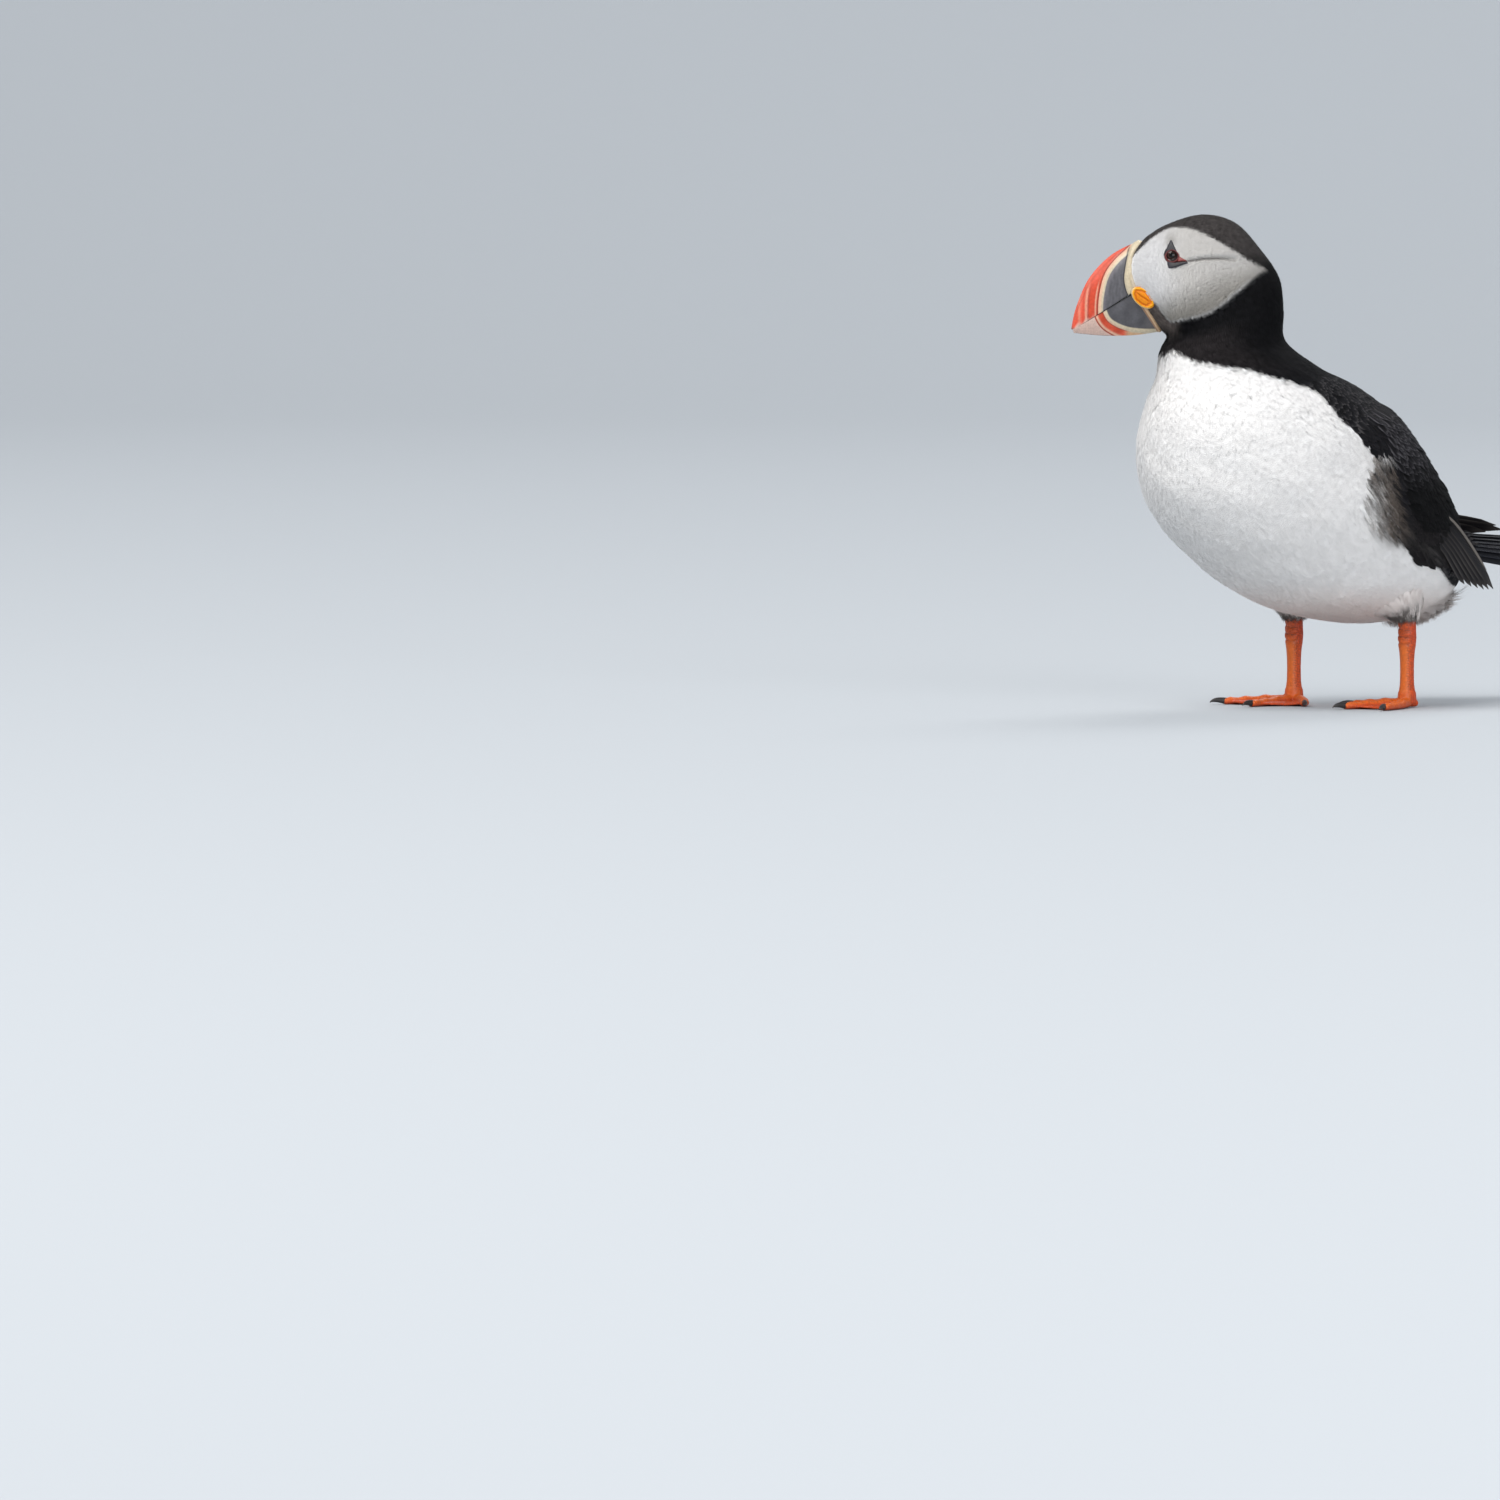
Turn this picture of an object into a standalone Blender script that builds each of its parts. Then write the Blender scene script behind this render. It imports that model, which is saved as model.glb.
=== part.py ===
"""Atlantic puffin, life size, standing with its head turned to its right.

The bird faces -Y, its left side is +X, and its soles stand on Z = 0, below the middle of its length. The trunk, neck and head are one
loft from the bill's base to the vent, parted by thin cuts, and the wings, thighs, eyes and tail sit in
pockets cut for them. Lengths in the tables are millimetres, and MM turns them into metres.
"""

import math

import bmesh
import bpy
from mathutils import Matrix, Vector

MM = 0.001
GAP = 0.3  # clearance between neighbouring solids
MIDDLE = (0.45, 10.6, 0.0)  # the middle of the whole bird on the floor, which becomes the origin

# Posture
NECK_Y = -41.8  # the neck's upright axis, in front of the middle of the body
HEAD_TURN = math.radians(33)  # the head looks this far to the bird's right
HEAD_LIFT = 1.0

# The loft, bill base to vent. Each station is a ring in a plane across the bird, given by its upper point,
# its lower point and its half width. Points are (forward, up) from the foot of the neck's axis.
# The last two numbers are how far the ring's sides bow forward, and how far its widest line sits
# above (+) or below (-) its middle, as a share.
RINGS = [
    # upper        lower          half width  bow  widest
    ((36.9, 209.7), (28.2, 168.6), 9.6, 8.0, 0.00),  # base of the bill
    ((26.5, 216.4), (26.9, 167.6), 15.6, 5.0, -0.10),  # brow
    ((10.0, 221.2), (26.1, 167.0), 20.3, 1.0, -0.20),  # crown
    ((-5.0, 217.5), (25.9, 166.3), 22.0, 0.0, -0.22),  # hind crown
    ((-16.5, 205.4), (25.8, 165.6), 22.2, 0.0, -0.15),  # cheek
    ((-25.0, 192.4), (26.5, 164.8), 22.4, 0.0, -0.08),  # nape
    ((-26.9, 177.5), (27.6, 163.0), 23.6, 0.0, 0.00),  # upper neck
    ((-27.9, 164.5), (29.6, 158.5), 26.0, 0.0, 0.00),  # collar
    ((-44.0, 153.5), (31.0, 148.5), 33.5, 0.0, 0.02),  # root of the neck
    ((-62.0, 146.0), (36.5, 135.0), 41.5, 0.0, 0.04),  # shoulders
    ((-79.5, 135.5), (39.8, 118.0), 47.5, 0.0, 0.03),
    ((-93.5, 121.5), (37.8, 100.5), 51.0, 0.0, 0.02),  # breast
    ((-104.0, 107.5), (29.0, 84.5), 52.5, 0.0, 0.00),
    ((-111.5, 96.0), (11.5, 68.0), 52.0, 0.0, -0.02),  # belly
    ((-117.0, 87.0), (-8.5, 54.0), 49.0, 0.0, -0.04),
    ((-120.5, 79.5), (-31.0, 43.8), 44.0, 0.0, -0.05),  # thighs
    ((-122.5, 72.5), (-56.0, 38.6), 36.5, 0.0, -0.05),
    ((-123.5, 66.0), (-80.0, 37.2), 27.5, 0.0, -0.05),  # vent
    ((-123.5, 59.5), (-100.0, 40.5), 18.0, 0.0, 0.00),
    ((-121.0, 53.0), (-113.5, 46.5), 7.5, 0.0, 0.00),
]
HEAD_END, NECK_END, BODY_END = 6.0, 8.0, len(RINGS) - 1.0  # the cuts, counted in stations
RING_SIDES = 32


def lerp(a, b, t):
    return a + (b - a) * t


def smooth(values, s):
    """The value at s along a list of numbers or vectors, on a Catmull-Rom curve through them."""
    last = len(values) - 1
    i = min(int(s), last - 1)
    t = s - i
    p0, p1, p2, p3 = (values[min(max(k, 0), last)] for k in (i - 1, i, i + 1, i + 2))
    return 0.5 * (2 * p1 + (p2 - p0) * t + (2 * p0 - 5 * p1 + 4 * p2 - p3) * t**2 + (3 * p1 - p0 - 3 * p2 + p3) * t**3)


def ease(x):
    x = min(max(x, 0.0), 1.0)
    return x * x * (3 - 2 * x)


def head_to_body(forward, side, up):
    """A point given from the foot of the neck's axis, the head's way round, in the bird's own frame."""
    turned = Matrix.Rotation(-HEAD_TURN, 3, "Z") @ Vector((side, -forward, 0))
    return Vector((turned.x, turned.y + NECK_Y, up + HEAD_LIFT))


def body_point(s, angle, proud=0.0):
    """The bird's outer surface at station s. Angle 0 is the back's middle and a quarter turn its left side."""
    upper = smooth([Vector(r[0]) for r in RINGS], s)
    lower = smooth([Vector(r[1]) for r in RINGS], s)
    width, bow, widest = (smooth([r[k] for r in RINGS], s) for k in (2, 3, 4))
    across, along = math.sin(angle), math.cos(angle)
    middle, reach = (upper + lower) / 2, (upper - lower) / 2
    side_way = along + widest * across**2
    flat = middle + reach * side_way
    flat.x += bow * across**2 * (1 + 0.5 * along)
    out = Vector((across / max(width, 1), along / max(reach.length, 1))).normalized()
    flat += reach.normalized() * out.y * proud
    turn = 1 - ease((s - HEAD_END) / 3.0)
    side = width * across + out.x * proud
    turned = Matrix.Rotation(-HEAD_TURN * turn, 3, "Z") @ Vector((side, -flat.x, 0))
    return Vector((turned.x, turned.y + NECK_Y, flat.y + HEAD_LIFT * turn))


def material(name, colour, roughness, metallic=0.0):
    made = bpy.data.materials.get(name) or bpy.data.materials.new(name)
    made.use_nodes = True
    shader = made.node_tree.nodes["Principled BSDF"]
    shader.inputs["Base Color"].default_value = (*colour, 1.0)
    shader.inputs["Roughness"].default_value = roughness
    shader.inputs["Metallic"].default_value = metallic
    return made


def new_object(name, points, faces, finish=None):
    """A mesh object from points in millimetres, with its faces turned outwards."""
    mesh = bpy.data.meshes.new(name)
    bm = bmesh.new()
    verts = [bm.verts.new((Vector(p) - Vector(MIDDLE)) * MM) for p in points]
    for face in faces:
        bm.faces.new([verts[i] for i in face])
    bmesh.ops.remove_doubles(bm, verts=bm.verts, dist=0.01 * MM)
    bmesh.ops.recalc_face_normals(bm, faces=bm.faces)
    bm.to_mesh(mesh)
    bm.free()
    mesh.shade_smooth()
    mesh.set_sharp_from_angle(angle=math.radians(40))
    made = bpy.data.objects.new(name, mesh)
    bpy.context.scene.collection.objects.link(made)
    if finish:
        mesh.materials.append(finish)
    return made


def loft(name, rings, finish=None):
    """A closed solid through rings with the same number of points, its two ends closed by fans."""
    n = len(rings[0])
    points = [p for ring in rings for p in ring]
    faces = []
    for r in range(len(rings) - 1):
        for k in range(n):
            a, b = r * n + k, r * n + (k + 1) % n
            faces.append((a, b, b + n, a + n))
    for first in (0, (len(rings) - 1) * n):
        points.append(sum((Vector(p) for p in points[first : first + n]), Vector()) / n)
        faces += [(first + k, first + (k + 1) % n, len(points) - 1) for k in range(n)]
    return new_object(name, points, faces, finish)


def sheet(name, outer, inner, rows, columns, finish=None):
    """A closed plate between two grids of points, each with rows + 1 rows of columns + 1."""
    n, width = len(outer), columns + 1
    faces = []
    for i in range(rows):
        for j in range(columns):
            a = i * width + j
            faces.append((a, a + 1, a + 1 + width, a + width))
            faces.append((n + a, n + a + width, n + a + 1 + width, n + a + 1))
    border = list(range(columns)) + [i * width + columns for i in range(rows)]
    border += [rows * width + j for j in range(columns, 0, -1)] + [i * width for i in range(rows, 0, -1)]
    for a, b in zip(border, border[1:] + border[:1]):
        faces.append((a, b, n + b, n + a))
    return new_object(name, outer + inner, faces, finish)


def cut(solid, *cutters):
    """Takes each cutter away from the solid. Cutters are hidden and aren't part of the bird."""
    for cutter in cutters:
        cutter.hide_render = True
        cutter.display_type = "WIRE"
        step = solid.modifiers.new("cut_" + cutter.name, "BOOLEAN")
        step.operation = "DIFFERENCE"
        step.solver = "EXACT"
        step.object = cutter


# Trunk, neck and head --------------------------------------------------------------------------------


def body_section(name, start, end, per_station, finish):
    """The stretch of the loft between two cuts, each half a gap short of its cut."""
    steps = round((end - start) * per_station)
    length = (body_point(end, math.pi / 2) - body_point(start, math.pi / 2)).length
    trim = GAP / 2 / length * (end - start)
    first = start + (trim if start > 0 else 0)
    last = end - (trim if end < BODY_END else 0)
    rings = []
    for k in range(steps + 1):
        s = lerp(first, last, k / steps)
        rings.append([body_point(s, math.tau * j / RING_SIDES) for j in range(RING_SIDES)])
    return loft(name, rings, finish)


# Wings ------------------------------------------------------------------------------------------------

WING_START, WING_STOP = 9.8, 16.4  # the stations that the folded wing covers
WING_SINK, WING_PROUD = 4.0, 1.6  # how deep its plate is let into the side, and how far it stands out
# Each wing's upper and lower borders, in degrees from the back's middle, wrist to rear. The right is held higher.
WING_BORDERS = {
    1: ([44, 38, 34, 32, 33, 38, 46, 54], [72, 73, 70, 76, 84, 80, 76, 74]),
    -1: ([44, 38, 34, 30, 27, 26, 26, 28], [72, 73, 70, 74, 76, 70, 62, 56]),
}


def wing_angle(s, edge, side):
    """The angle from the back's middle between the wing's upper (edge 0) and lower (edge 1) borders."""
    upper, lower = WING_BORDERS[side]
    t = (s - WING_START) / (WING_STOP - WING_START) * (len(upper) - 1)
    return side * math.radians(lerp(smooth(upper, t), smooth(lower, t), edge))


def wing_plate(name, side, margin, finish=None):
    """The folded arm and its coverts: a plate that follows the flank. With a margin it is the pocket for one."""
    rows, columns = 12, 8
    pad = margin / 5.0
    above = 3.0 if margin else -0.2
    outer, inner = [], []
    for i in range(rows + 1):
        s = lerp(WING_START - pad, WING_STOP + 4 * pad, i / rows)
        for j in range(columns + 1):
            edge = lerp(-pad / 3, 1 + pad / 3, j / columns)
            angle = wing_angle(min(max(s, WING_START), WING_STOP), edge, side)
            rim = min(ease(j / 1.3), ease((columns - j) / 1.3), ease(i / 1.6), ease((rows - i) / 1.3))
            outer.append(body_point(s, angle, lerp(above, WING_PROUD + margin, rim)))
            inner.append(body_point(s, angle, -lerp(1.4, WING_SINK, rim) - margin))
    return sheet(name, outer, inner, rows, columns, finish)


# Each wing's primaries, as one flat bundle: root, tip, its greatest width and the way its flat side faces.
# The bird holds its right wing higher, with the tip over the tail.
PRIMARIES = {
    "left": ((31.5, 58.5, 70.5), (19.5, 94.5, 53.0), 15.0, (0.86, 0.42, 0.30)),
    "right": ((-24.0, 67.0, 82.2), (-7.5, 113.0, 80.3), 13.0, (-0.80, 0.10, 0.60)),
}


def primaries(name, side, margin, finish=None):
    """A long flat solid with rounded edges that narrows to a point."""
    root, tip, width, facing = PRIMARIES[side]
    root, tip = Vector(root), Vector(tip)
    along = (tip - root).normalized()
    across = along.cross(Vector(facing)).normalized()
    out = across.cross(along).normalized()
    if margin:
        root, tip = root - along * margin, tip + along * margin
    rings = []
    for k in range(11):
        t = k / 10
        half = width / 2 * lerp(0.72, 1.0, math.sin(math.pi * min(t * 1.4, 1.0))) * (1 - t**2.2) + 0.45
        deep = lerp(1.6, 0.45, t)
        ring = []
        for j in range(10):
            a = math.tau * j / 10
            bow = out * (1.5 * math.sin(math.pi * t) - 0.02 * (half * math.cos(a)) ** 2)
            ring.append(root.lerp(tip, t) + bow + across * math.cos(a) * (half + margin) + out * math.sin(a) * (deep + margin))
        rings.append(ring)
    return loft(name, rings, finish)


# Bill -------------------------------------------------------------------------------------------------

CULMEN = [(36.9, 209.7), (50.0, 203.2), (60.3, 192.7), (66.3, 179.5), (68.6, 169.4)]
KEEL = [(28.2, 168.6), (40.0, 167.0), (54.0, 166.8), (67.6, 168.0)]
GAPE_CORNER, GAPE_TIP = (37.5, 183.5), (68.2, 169.0)
BILL_TIP_HALF_WIDTH = 1.9


def base_point(angle):
    """A point of the bill's base, which follows the edge of the head's feathering."""
    (upper, lower, width, bow, _), across, along = RINGS[0], math.sin(angle), math.cos(angle)
    middle, reach = (Vector(upper) + Vector(lower)) / 2, (Vector(upper) - Vector(lower)) / 2
    at = middle + reach * along
    return Vector((at.x + bow * across**2 * (1 + 0.5 * along), width * across, at.y))


def bill_half(name, edge, gape_angle, ridge_angle, gap, finish):
    """One half of the bill, from its base on the head out to the tip. Its ridge is the culmen or the keel."""
    steps, sides = 11, 6
    rings = []
    for k in range(steps + 1):
        t = k / steps * 0.985
        ridge = smooth([Vector(p) for p in edge], t * (len(edge) - 1))
        gape = Vector(GAPE_CORNER).lerp(Vector(GAPE_TIP), t) + Vector((0, gap + 1.2 * math.sin(math.pi * t)))
        ring = []
        for side in (1, -1):
            for j in range(sides + 1) if side == 1 else range(sides - 1, -1, -1):
                h = j / sides
                angle = math.radians(lerp(gape_angle, ridge_angle, h))
                base = base_point(angle)
                half = lerp(base.y, BILL_TIP_HALF_WIDTH * (1 - 0.8 * h**2), t**0.85)
                start = Vector(GAPE_CORNER).lerp(Vector(edge[0]), h)
                shift = Vector((base.x + GAP + 0.1, base.z)) - start
                at = gape.lerp(ridge, h) + shift * (1 - t) ** 2
                ring.append(head_to_body(at.x, side * max(half, 0.6), at.y))
        rings.append(ring)
    return loft(name, rings, finish)


# Eyes and gape rosettes -------------------------------------------------------------------------------

EYE_AT, EYE_RADIUS = (23.8, 11.6, 202.7), 4.5
ROSETTE_AT, ROSETTE_SIZE = (35.9, 10.0, 183.4), (6.2, 1.7, 3.1)
ROSETTE_TILT = math.radians(42)


def ball(name, centre, radii, finish=None, tilt=0.0):
    """An ellipsoid in the head's own frame: radii forward, sideways and up."""
    points, faces = [], []
    rows, columns = 8, 12
    for i in range(rows + 1):
        polar = math.pi * i / rows
        for j in range(columns):
            around = math.tau * j / columns
            f = radii[0] * math.sin(polar) * math.cos(around)
            u = radii[2] * math.sin(polar) * math.sin(around)
            s = radii[1] * math.cos(polar)
            f, u = f * math.cos(tilt) - u * math.sin(tilt), f * math.sin(tilt) + u * math.cos(tilt)
            points.append(head_to_body(centre[0] + f, centre[1] + s, centre[2] + u))
    for i in range(rows):
        for j in range(columns):
            a, b = i * columns + j, i * columns + (j + 1) % columns
            faces.append((a, b, b + columns, a + columns))
    return new_object(name, points, faces, finish)


# Legs -------------------------------------------------------------------------------------------------

ANKLES = {"left": (30.4, 37.4), "right": (-23.2, 12.8)}  # where each shank meets its foot, on the floor
SHANK_TOP, SHANK_FOOT = 33.0, 6.6
# Each toe: its way from straight ahead in degrees, + to the bird's left, then its length and half width.
TOES = {
    "left": {"inner": (-33, 25.0, 2.3), "middle": (-2, 33.5, 2.6), "outer": (36, 32.0, 2.4)},
    "right": {"outer": (-26, 32.0, 2.4), "middle": (20, 33.5, 2.6), "inner": (66, 25.0, 2.3)},
}
TOE_HEIGHT, WEB_THICK, HEEL = 3.3, 1.3, 5.2
CLAW_LENGTH = 6.5


def floor_way(degrees):
    """The level direction this many degrees to the bird's left of straight ahead."""
    return Vector((math.sin(math.radians(degrees)), -math.cos(math.radians(degrees)), 0))


def toes_in_order(side):
    return sorted(TOES[side].values())


def foot_reach(side, degrees):
    """How far the foot's outline lies from the ankle: scalloped between the toes, rounded behind."""
    toes = toes_in_order(side)
    beyond = max(toes[0][0] - degrees, degrees - toes[2][0])
    if beyond > 0:
        edge = toes[0][1] if degrees < toes[0][0] else toes[2][1]
        rim = edge * 0.42
        return lerp(edge, rim, ease(beyond / 9)) if beyond < 9 else lerp(rim, HEEL, ease((beyond - 9) / 30))
    near, far = (toes[0], toes[1]) if degrees < toes[1][0] else (toes[1], toes[2])
    t = (degrees - near[0]) / (far[0] - near[0])
    return lerp(near[1], far[1], t) - 6.5 * math.sin(math.pi * t) ** 0.8


def foot_height(side, reach, degrees):
    """The height of the foot's upper side: ankle, toes and the web between them."""
    height = WEB_THICK
    for angle, length, half in toes_in_order(side):
        off = math.radians(degrees - angle)
        if math.cos(off) > 0:
            tall = lerp(TOE_HEIGHT + 0.9, TOE_HEIGHT - 0.9, reach / length)
            share = math.sqrt(max(0.0, 1 - (reach * math.sin(off) / half) ** 2))
            height = max(height, lerp(WEB_THICK, tall, share))
    return max(height, (SHANK_FOOT - GAP) * (1 - ease((reach - 3.0) / 8.0)))


def foot(name, side, finish):
    """Three webbed toes as one fan with a flat sole."""
    ankle = Vector((*ANKLES[side], 0))
    toes = toes_in_order(side)
    ways = []
    for near, far in zip(toes, toes[1:]):
        ways += [lerp(near[0], far[0], t) for t in (0, 0.06, 0.13, 0.3, 0.5, 0.7, 0.87, 0.94)]
    ways += [toes[2][0] + d for d in (0, 3, 7, 14, 26)]
    ways += [lerp(ways[-1], toes[0][0] + 334, k / 7) for k in range(1, 8)]
    ways += [toes[0][0] + 360 - d for d in (14, 7, 3)]
    rows, sole, top = 6, [], []
    for degrees in ways:
        turned = degrees if degrees <= 180 + (toes[0][0] + toes[2][0]) / 2 else degrees - 360
        for j in range(1, rows + 1):
            reach = foot_reach(side, turned) * j / rows
            at = ankle + floor_way(degrees) * reach
            rim = 0.5 if j == rows else 1.0
            top.append(at + Vector((0, 0, max(0.7, foot_height(side, reach, turned) * rim))))
            sole.append(at)
    n = len(top)
    points = top + sole + [ankle + Vector((0, 0, SHANK_FOOT - GAP)), ankle]
    faces = []
    for i in range(len(ways)):
        a, b = i * rows, (i + 1) % len(ways) * rows
        faces += [(a, b, 2 * n), (n + b, n + a, 2 * n + 1)]
        for j in range(rows - 1):
            faces += [(a + j, a + j + 1, b + j + 1, b + j), (n + a + j, n + b + j, n + b + j + 1, n + a + j + 1)]
        faces.append((a + rows - 1, n + a + rows - 1, n + b + rows - 1, b + rows - 1))
    return new_object(name, points, faces, finish)


def tube(name, path, radii, finish, flat=1.0, across=Vector((1, 0, 0)), sides=12):
    """A closed tube along a path, its section flattened across one way."""
    rings = []
    for k, (p, radius) in enumerate(zip(path, radii)):
        before, after = path[max(k - 1, 0)], path[min(k + 1, len(path) - 1)]
        way = (Vector(after) - Vector(before)).normalized()
        side = (across - way * across.dot(way)).normalized()
        other = way.cross(side)
        ring = []
        for j in range(sides):
            a = math.tau * j / sides
            ring.append(Vector(p) + (side * math.cos(a) * flat + other * math.sin(a)) * radius)
        rings.append(ring)
    return loft(name, rings, finish)


def shank(side, finish):
    """The bare tarsus, deeper than it is wide, swollen at the ankle joint above and the toe joint below."""
    heights = [SHANK_FOOT, 8.0, 11.0, 16.0, 21.0, 25.0, 28.5, 31.0, SHANK_TOP]
    radii = [4.3, 3.7, 3.4, 3.3, 3.4, 3.7, 4.2, 4.3, 3.8]
    path = [Vector((*ANKLES[side], h)) for h in heights]
    return tube(f"shank_{side}", path, radii, finish, flat=0.84)


def thigh(name, side, margin, finish=None):
    """The feathered end of the leg, a short cuff that comes out of the belly."""
    base = SHANK_TOP + GAP
    heights = [base, base + 2.2, base + 6, base + 10, base + 15]
    radii = [4.7, 5.8, 7.0, 8.0, 6.5]
    leans = [0.0, 0.0, 0.7, 1.7, 3.3]
    path = [Vector((ANKLES[side][0] * 0.97, ANKLES[side][1] - lean, h)) for h, lean in zip(heights, leans)]
    if margin:
        path = [path[0] - Vector((0, 0, margin))] + path[1:-1] + [path[-1] + Vector((0, 0, margin))]
    return tube(name, path, [r + margin for r in radii], finish)


def claw(name, side, toe, finish):
    """A curved, pointed claw in front of its toe, resting on the floor."""
    degrees, length, _ = TOES[side][toe]
    way = floor_way(degrees)
    path, radii = [], []
    for k in range(7):
        t = k / 6
        forward = length + GAP + CLAW_LENGTH * math.sin(t * 1.25) / math.sin(1.25)
        height = 1.45 + 0.9 * math.sin(t * math.pi * 0.75) - 1.1 * t**2
        radius = lerp(1.35, 0.32, t**1.2)
        path.append(Vector((*ANKLES[side], max(height, radius))) + way * forward)
        radii.append(radius)
    return tube(name, path, radii, finish, flat=0.8, across=way.cross(Vector((0, 0, 1))), sides=8)


# Tail -------------------------------------------------------------------------------------------------

TAIL_ROOT, TAIL_TIP = Vector((0.0, 60.0, 79.0)), Vector((0.0, 121.0, 75.5))
TAIL_ROOT_HALF_WIDTH, TAIL_HALF_WIDTH, TAIL_ARCH, TAIL_THICK = 7.0, 20.0, 15.0, 3.2


def tail(name, margin, finish=None):
    """The closed tail: a fan with a rounded end, whose sides hang like a low roof."""
    rows, columns = 7, 12
    above, below = [], []
    for i in range(rows + 1):
        t = i / rows
        for j in range(columns + 1):
            across = 2 * j / columns - 1
            run = t * (1 - 0.13 * across**2)
            at = TAIL_ROOT.lerp(TAIL_TIP, run)
            half = lerp(TAIL_ROOT_HALF_WIDTH, TAIL_HALF_WIDTH, math.sin(run * math.pi * 0.42) / math.sin(math.pi * 0.42))
            at.x = across * (half + margin)
            at.y += margin * (2 * t - 1)
            at.z -= TAIL_ARCH * (at.x / half) ** 2 * half / TAIL_HALF_WIDTH
            thick = lerp(TAIL_THICK, 1.3, t) * lerp(1.0, 0.5, across**4) / 2 + margin * (1 + across**2)
            above.append(at + Vector((0, 0, thick)))
            below.append(at - Vector((0, 0, thick)))
    return sheet(name, above, below, rows, columns, finish)


# Assembly ---------------------------------------------------------------------------------------------


def build():
    for old in list(bpy.data.objects):
        bpy.data.objects.remove(old)

    white = material("white_plumage", (0.86, 0.86, 0.85), 0.8)
    black = material("black_plumage", (0.02, 0.02, 0.022), 0.6)
    grey = material("grey_face", (0.62, 0.62, 0.62), 0.8)
    orange = material("orange_skin", (0.86, 0.24, 0.05), 0.5)
    red = material("red_horn", (0.78, 0.15, 0.07), 0.4)
    yellow = material("yellow_rosette", (0.9, 0.5, 0.06), 0.5)
    claw_black = material("black_claw", (0.03, 0.03, 0.03), 0.35)
    eye_brown = material("brown_eye", (0.06, 0.035, 0.03), 0.1)

    head = body_section("head", 0.0, HEAD_END, 3, grey)
    body_section("neck", HEAD_END, NECK_END, 2, black)
    trunk = body_section("trunk", NECK_END, BODY_END, 2, white)
    bill_upper = bill_half("bill_upper", CULMEN, 97, 0, GAP / 2, red)
    bill_lower = bill_half("bill_lower", KEEL, 99, 180, -GAP / 2, red)

    for side, sign in (("left", 1), ("right", -1)):
        eye_at = (EYE_AT[0], EYE_AT[1] * sign, EYE_AT[2])
        ball(f"eye_{side}", eye_at, [EYE_RADIUS] * 3, eye_brown)
        cut(head, ball(f"socket_{side}", eye_at, [EYE_RADIUS + GAP] * 3))
        rosette_at = (ROSETTE_AT[0], ROSETTE_AT[1] * sign, ROSETTE_AT[2])
        ball(f"rosette_{side}", rosette_at, ROSETTE_SIZE, yellow, ROSETTE_TILT)
        pocket = ball(f"pocket_rosette_{side}", rosette_at, [r + GAP for r in ROSETTE_SIZE], None, ROSETTE_TILT)
        for solid in (head, bill_upper, bill_lower):
            cut(solid, pocket)
        wing_plate(f"wing_{side}", sign, 0.0, black)
        wing_pocket = wing_plate(f"pocket_wing_{side}", sign, GAP)
        quills = primaries(f"primaries_{side}", side, 0.0, black)
        cut(quills, wing_pocket)
        thigh(f"thigh_{side}", side, 0.0, white)
        cut(trunk, primaries(f"pocket_primaries_{side}", side, GAP), thigh(f"pocket_thigh_{side}", side, GAP), wing_pocket)
        shank(side, orange)
        foot(f"foot_{side}", side, orange)
        for toe in TOES[side]:
            claw(f"claw_{side}_{toe}", side, toe, claw_black)

    tail("tail", 0.0, black)
    cut(trunk, tail("pocket_tail", GAP))


build()
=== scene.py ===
import math

import bmesh
import bpy
import numpy as np
from mathutils import Matrix, Vector, kdtree


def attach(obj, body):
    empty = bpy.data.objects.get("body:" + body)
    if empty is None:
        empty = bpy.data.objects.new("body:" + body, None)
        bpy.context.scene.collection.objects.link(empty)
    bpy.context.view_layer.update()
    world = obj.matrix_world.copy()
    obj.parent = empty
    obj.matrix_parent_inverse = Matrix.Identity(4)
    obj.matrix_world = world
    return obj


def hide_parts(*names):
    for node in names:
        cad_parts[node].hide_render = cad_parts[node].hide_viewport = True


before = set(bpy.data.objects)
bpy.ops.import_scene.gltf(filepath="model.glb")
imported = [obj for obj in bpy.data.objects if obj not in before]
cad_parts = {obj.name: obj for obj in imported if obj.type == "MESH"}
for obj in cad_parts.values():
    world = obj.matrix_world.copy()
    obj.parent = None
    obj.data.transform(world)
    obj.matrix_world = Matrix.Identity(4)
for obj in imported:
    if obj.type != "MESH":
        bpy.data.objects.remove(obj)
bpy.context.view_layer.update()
scene = bpy.context.scene

# ---------------------------------------------------------------------------------------------------
# Skin. The bird's body under its plumage, from the bill's base to the vent, with a tube for each thigh. It
# lies inside the plumage's outline by the depth of the feathers and carries the same black, grey and white
# as they do, so nothing shows through where they part.
# ---------------------------------------------------------------------------------------------------

# Sizes are in millimetres. MIDDLE is the middle of the frame's footprint, and the head turns about an upright
# line at NECK_Y.
MM = 0.001
MIDDLE = np.array([0.45, 10.6, 0.0])
NECK_Y, HEAD_TURN, HEAD_LIFT = -41.8, math.radians(33), 1.0

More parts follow.
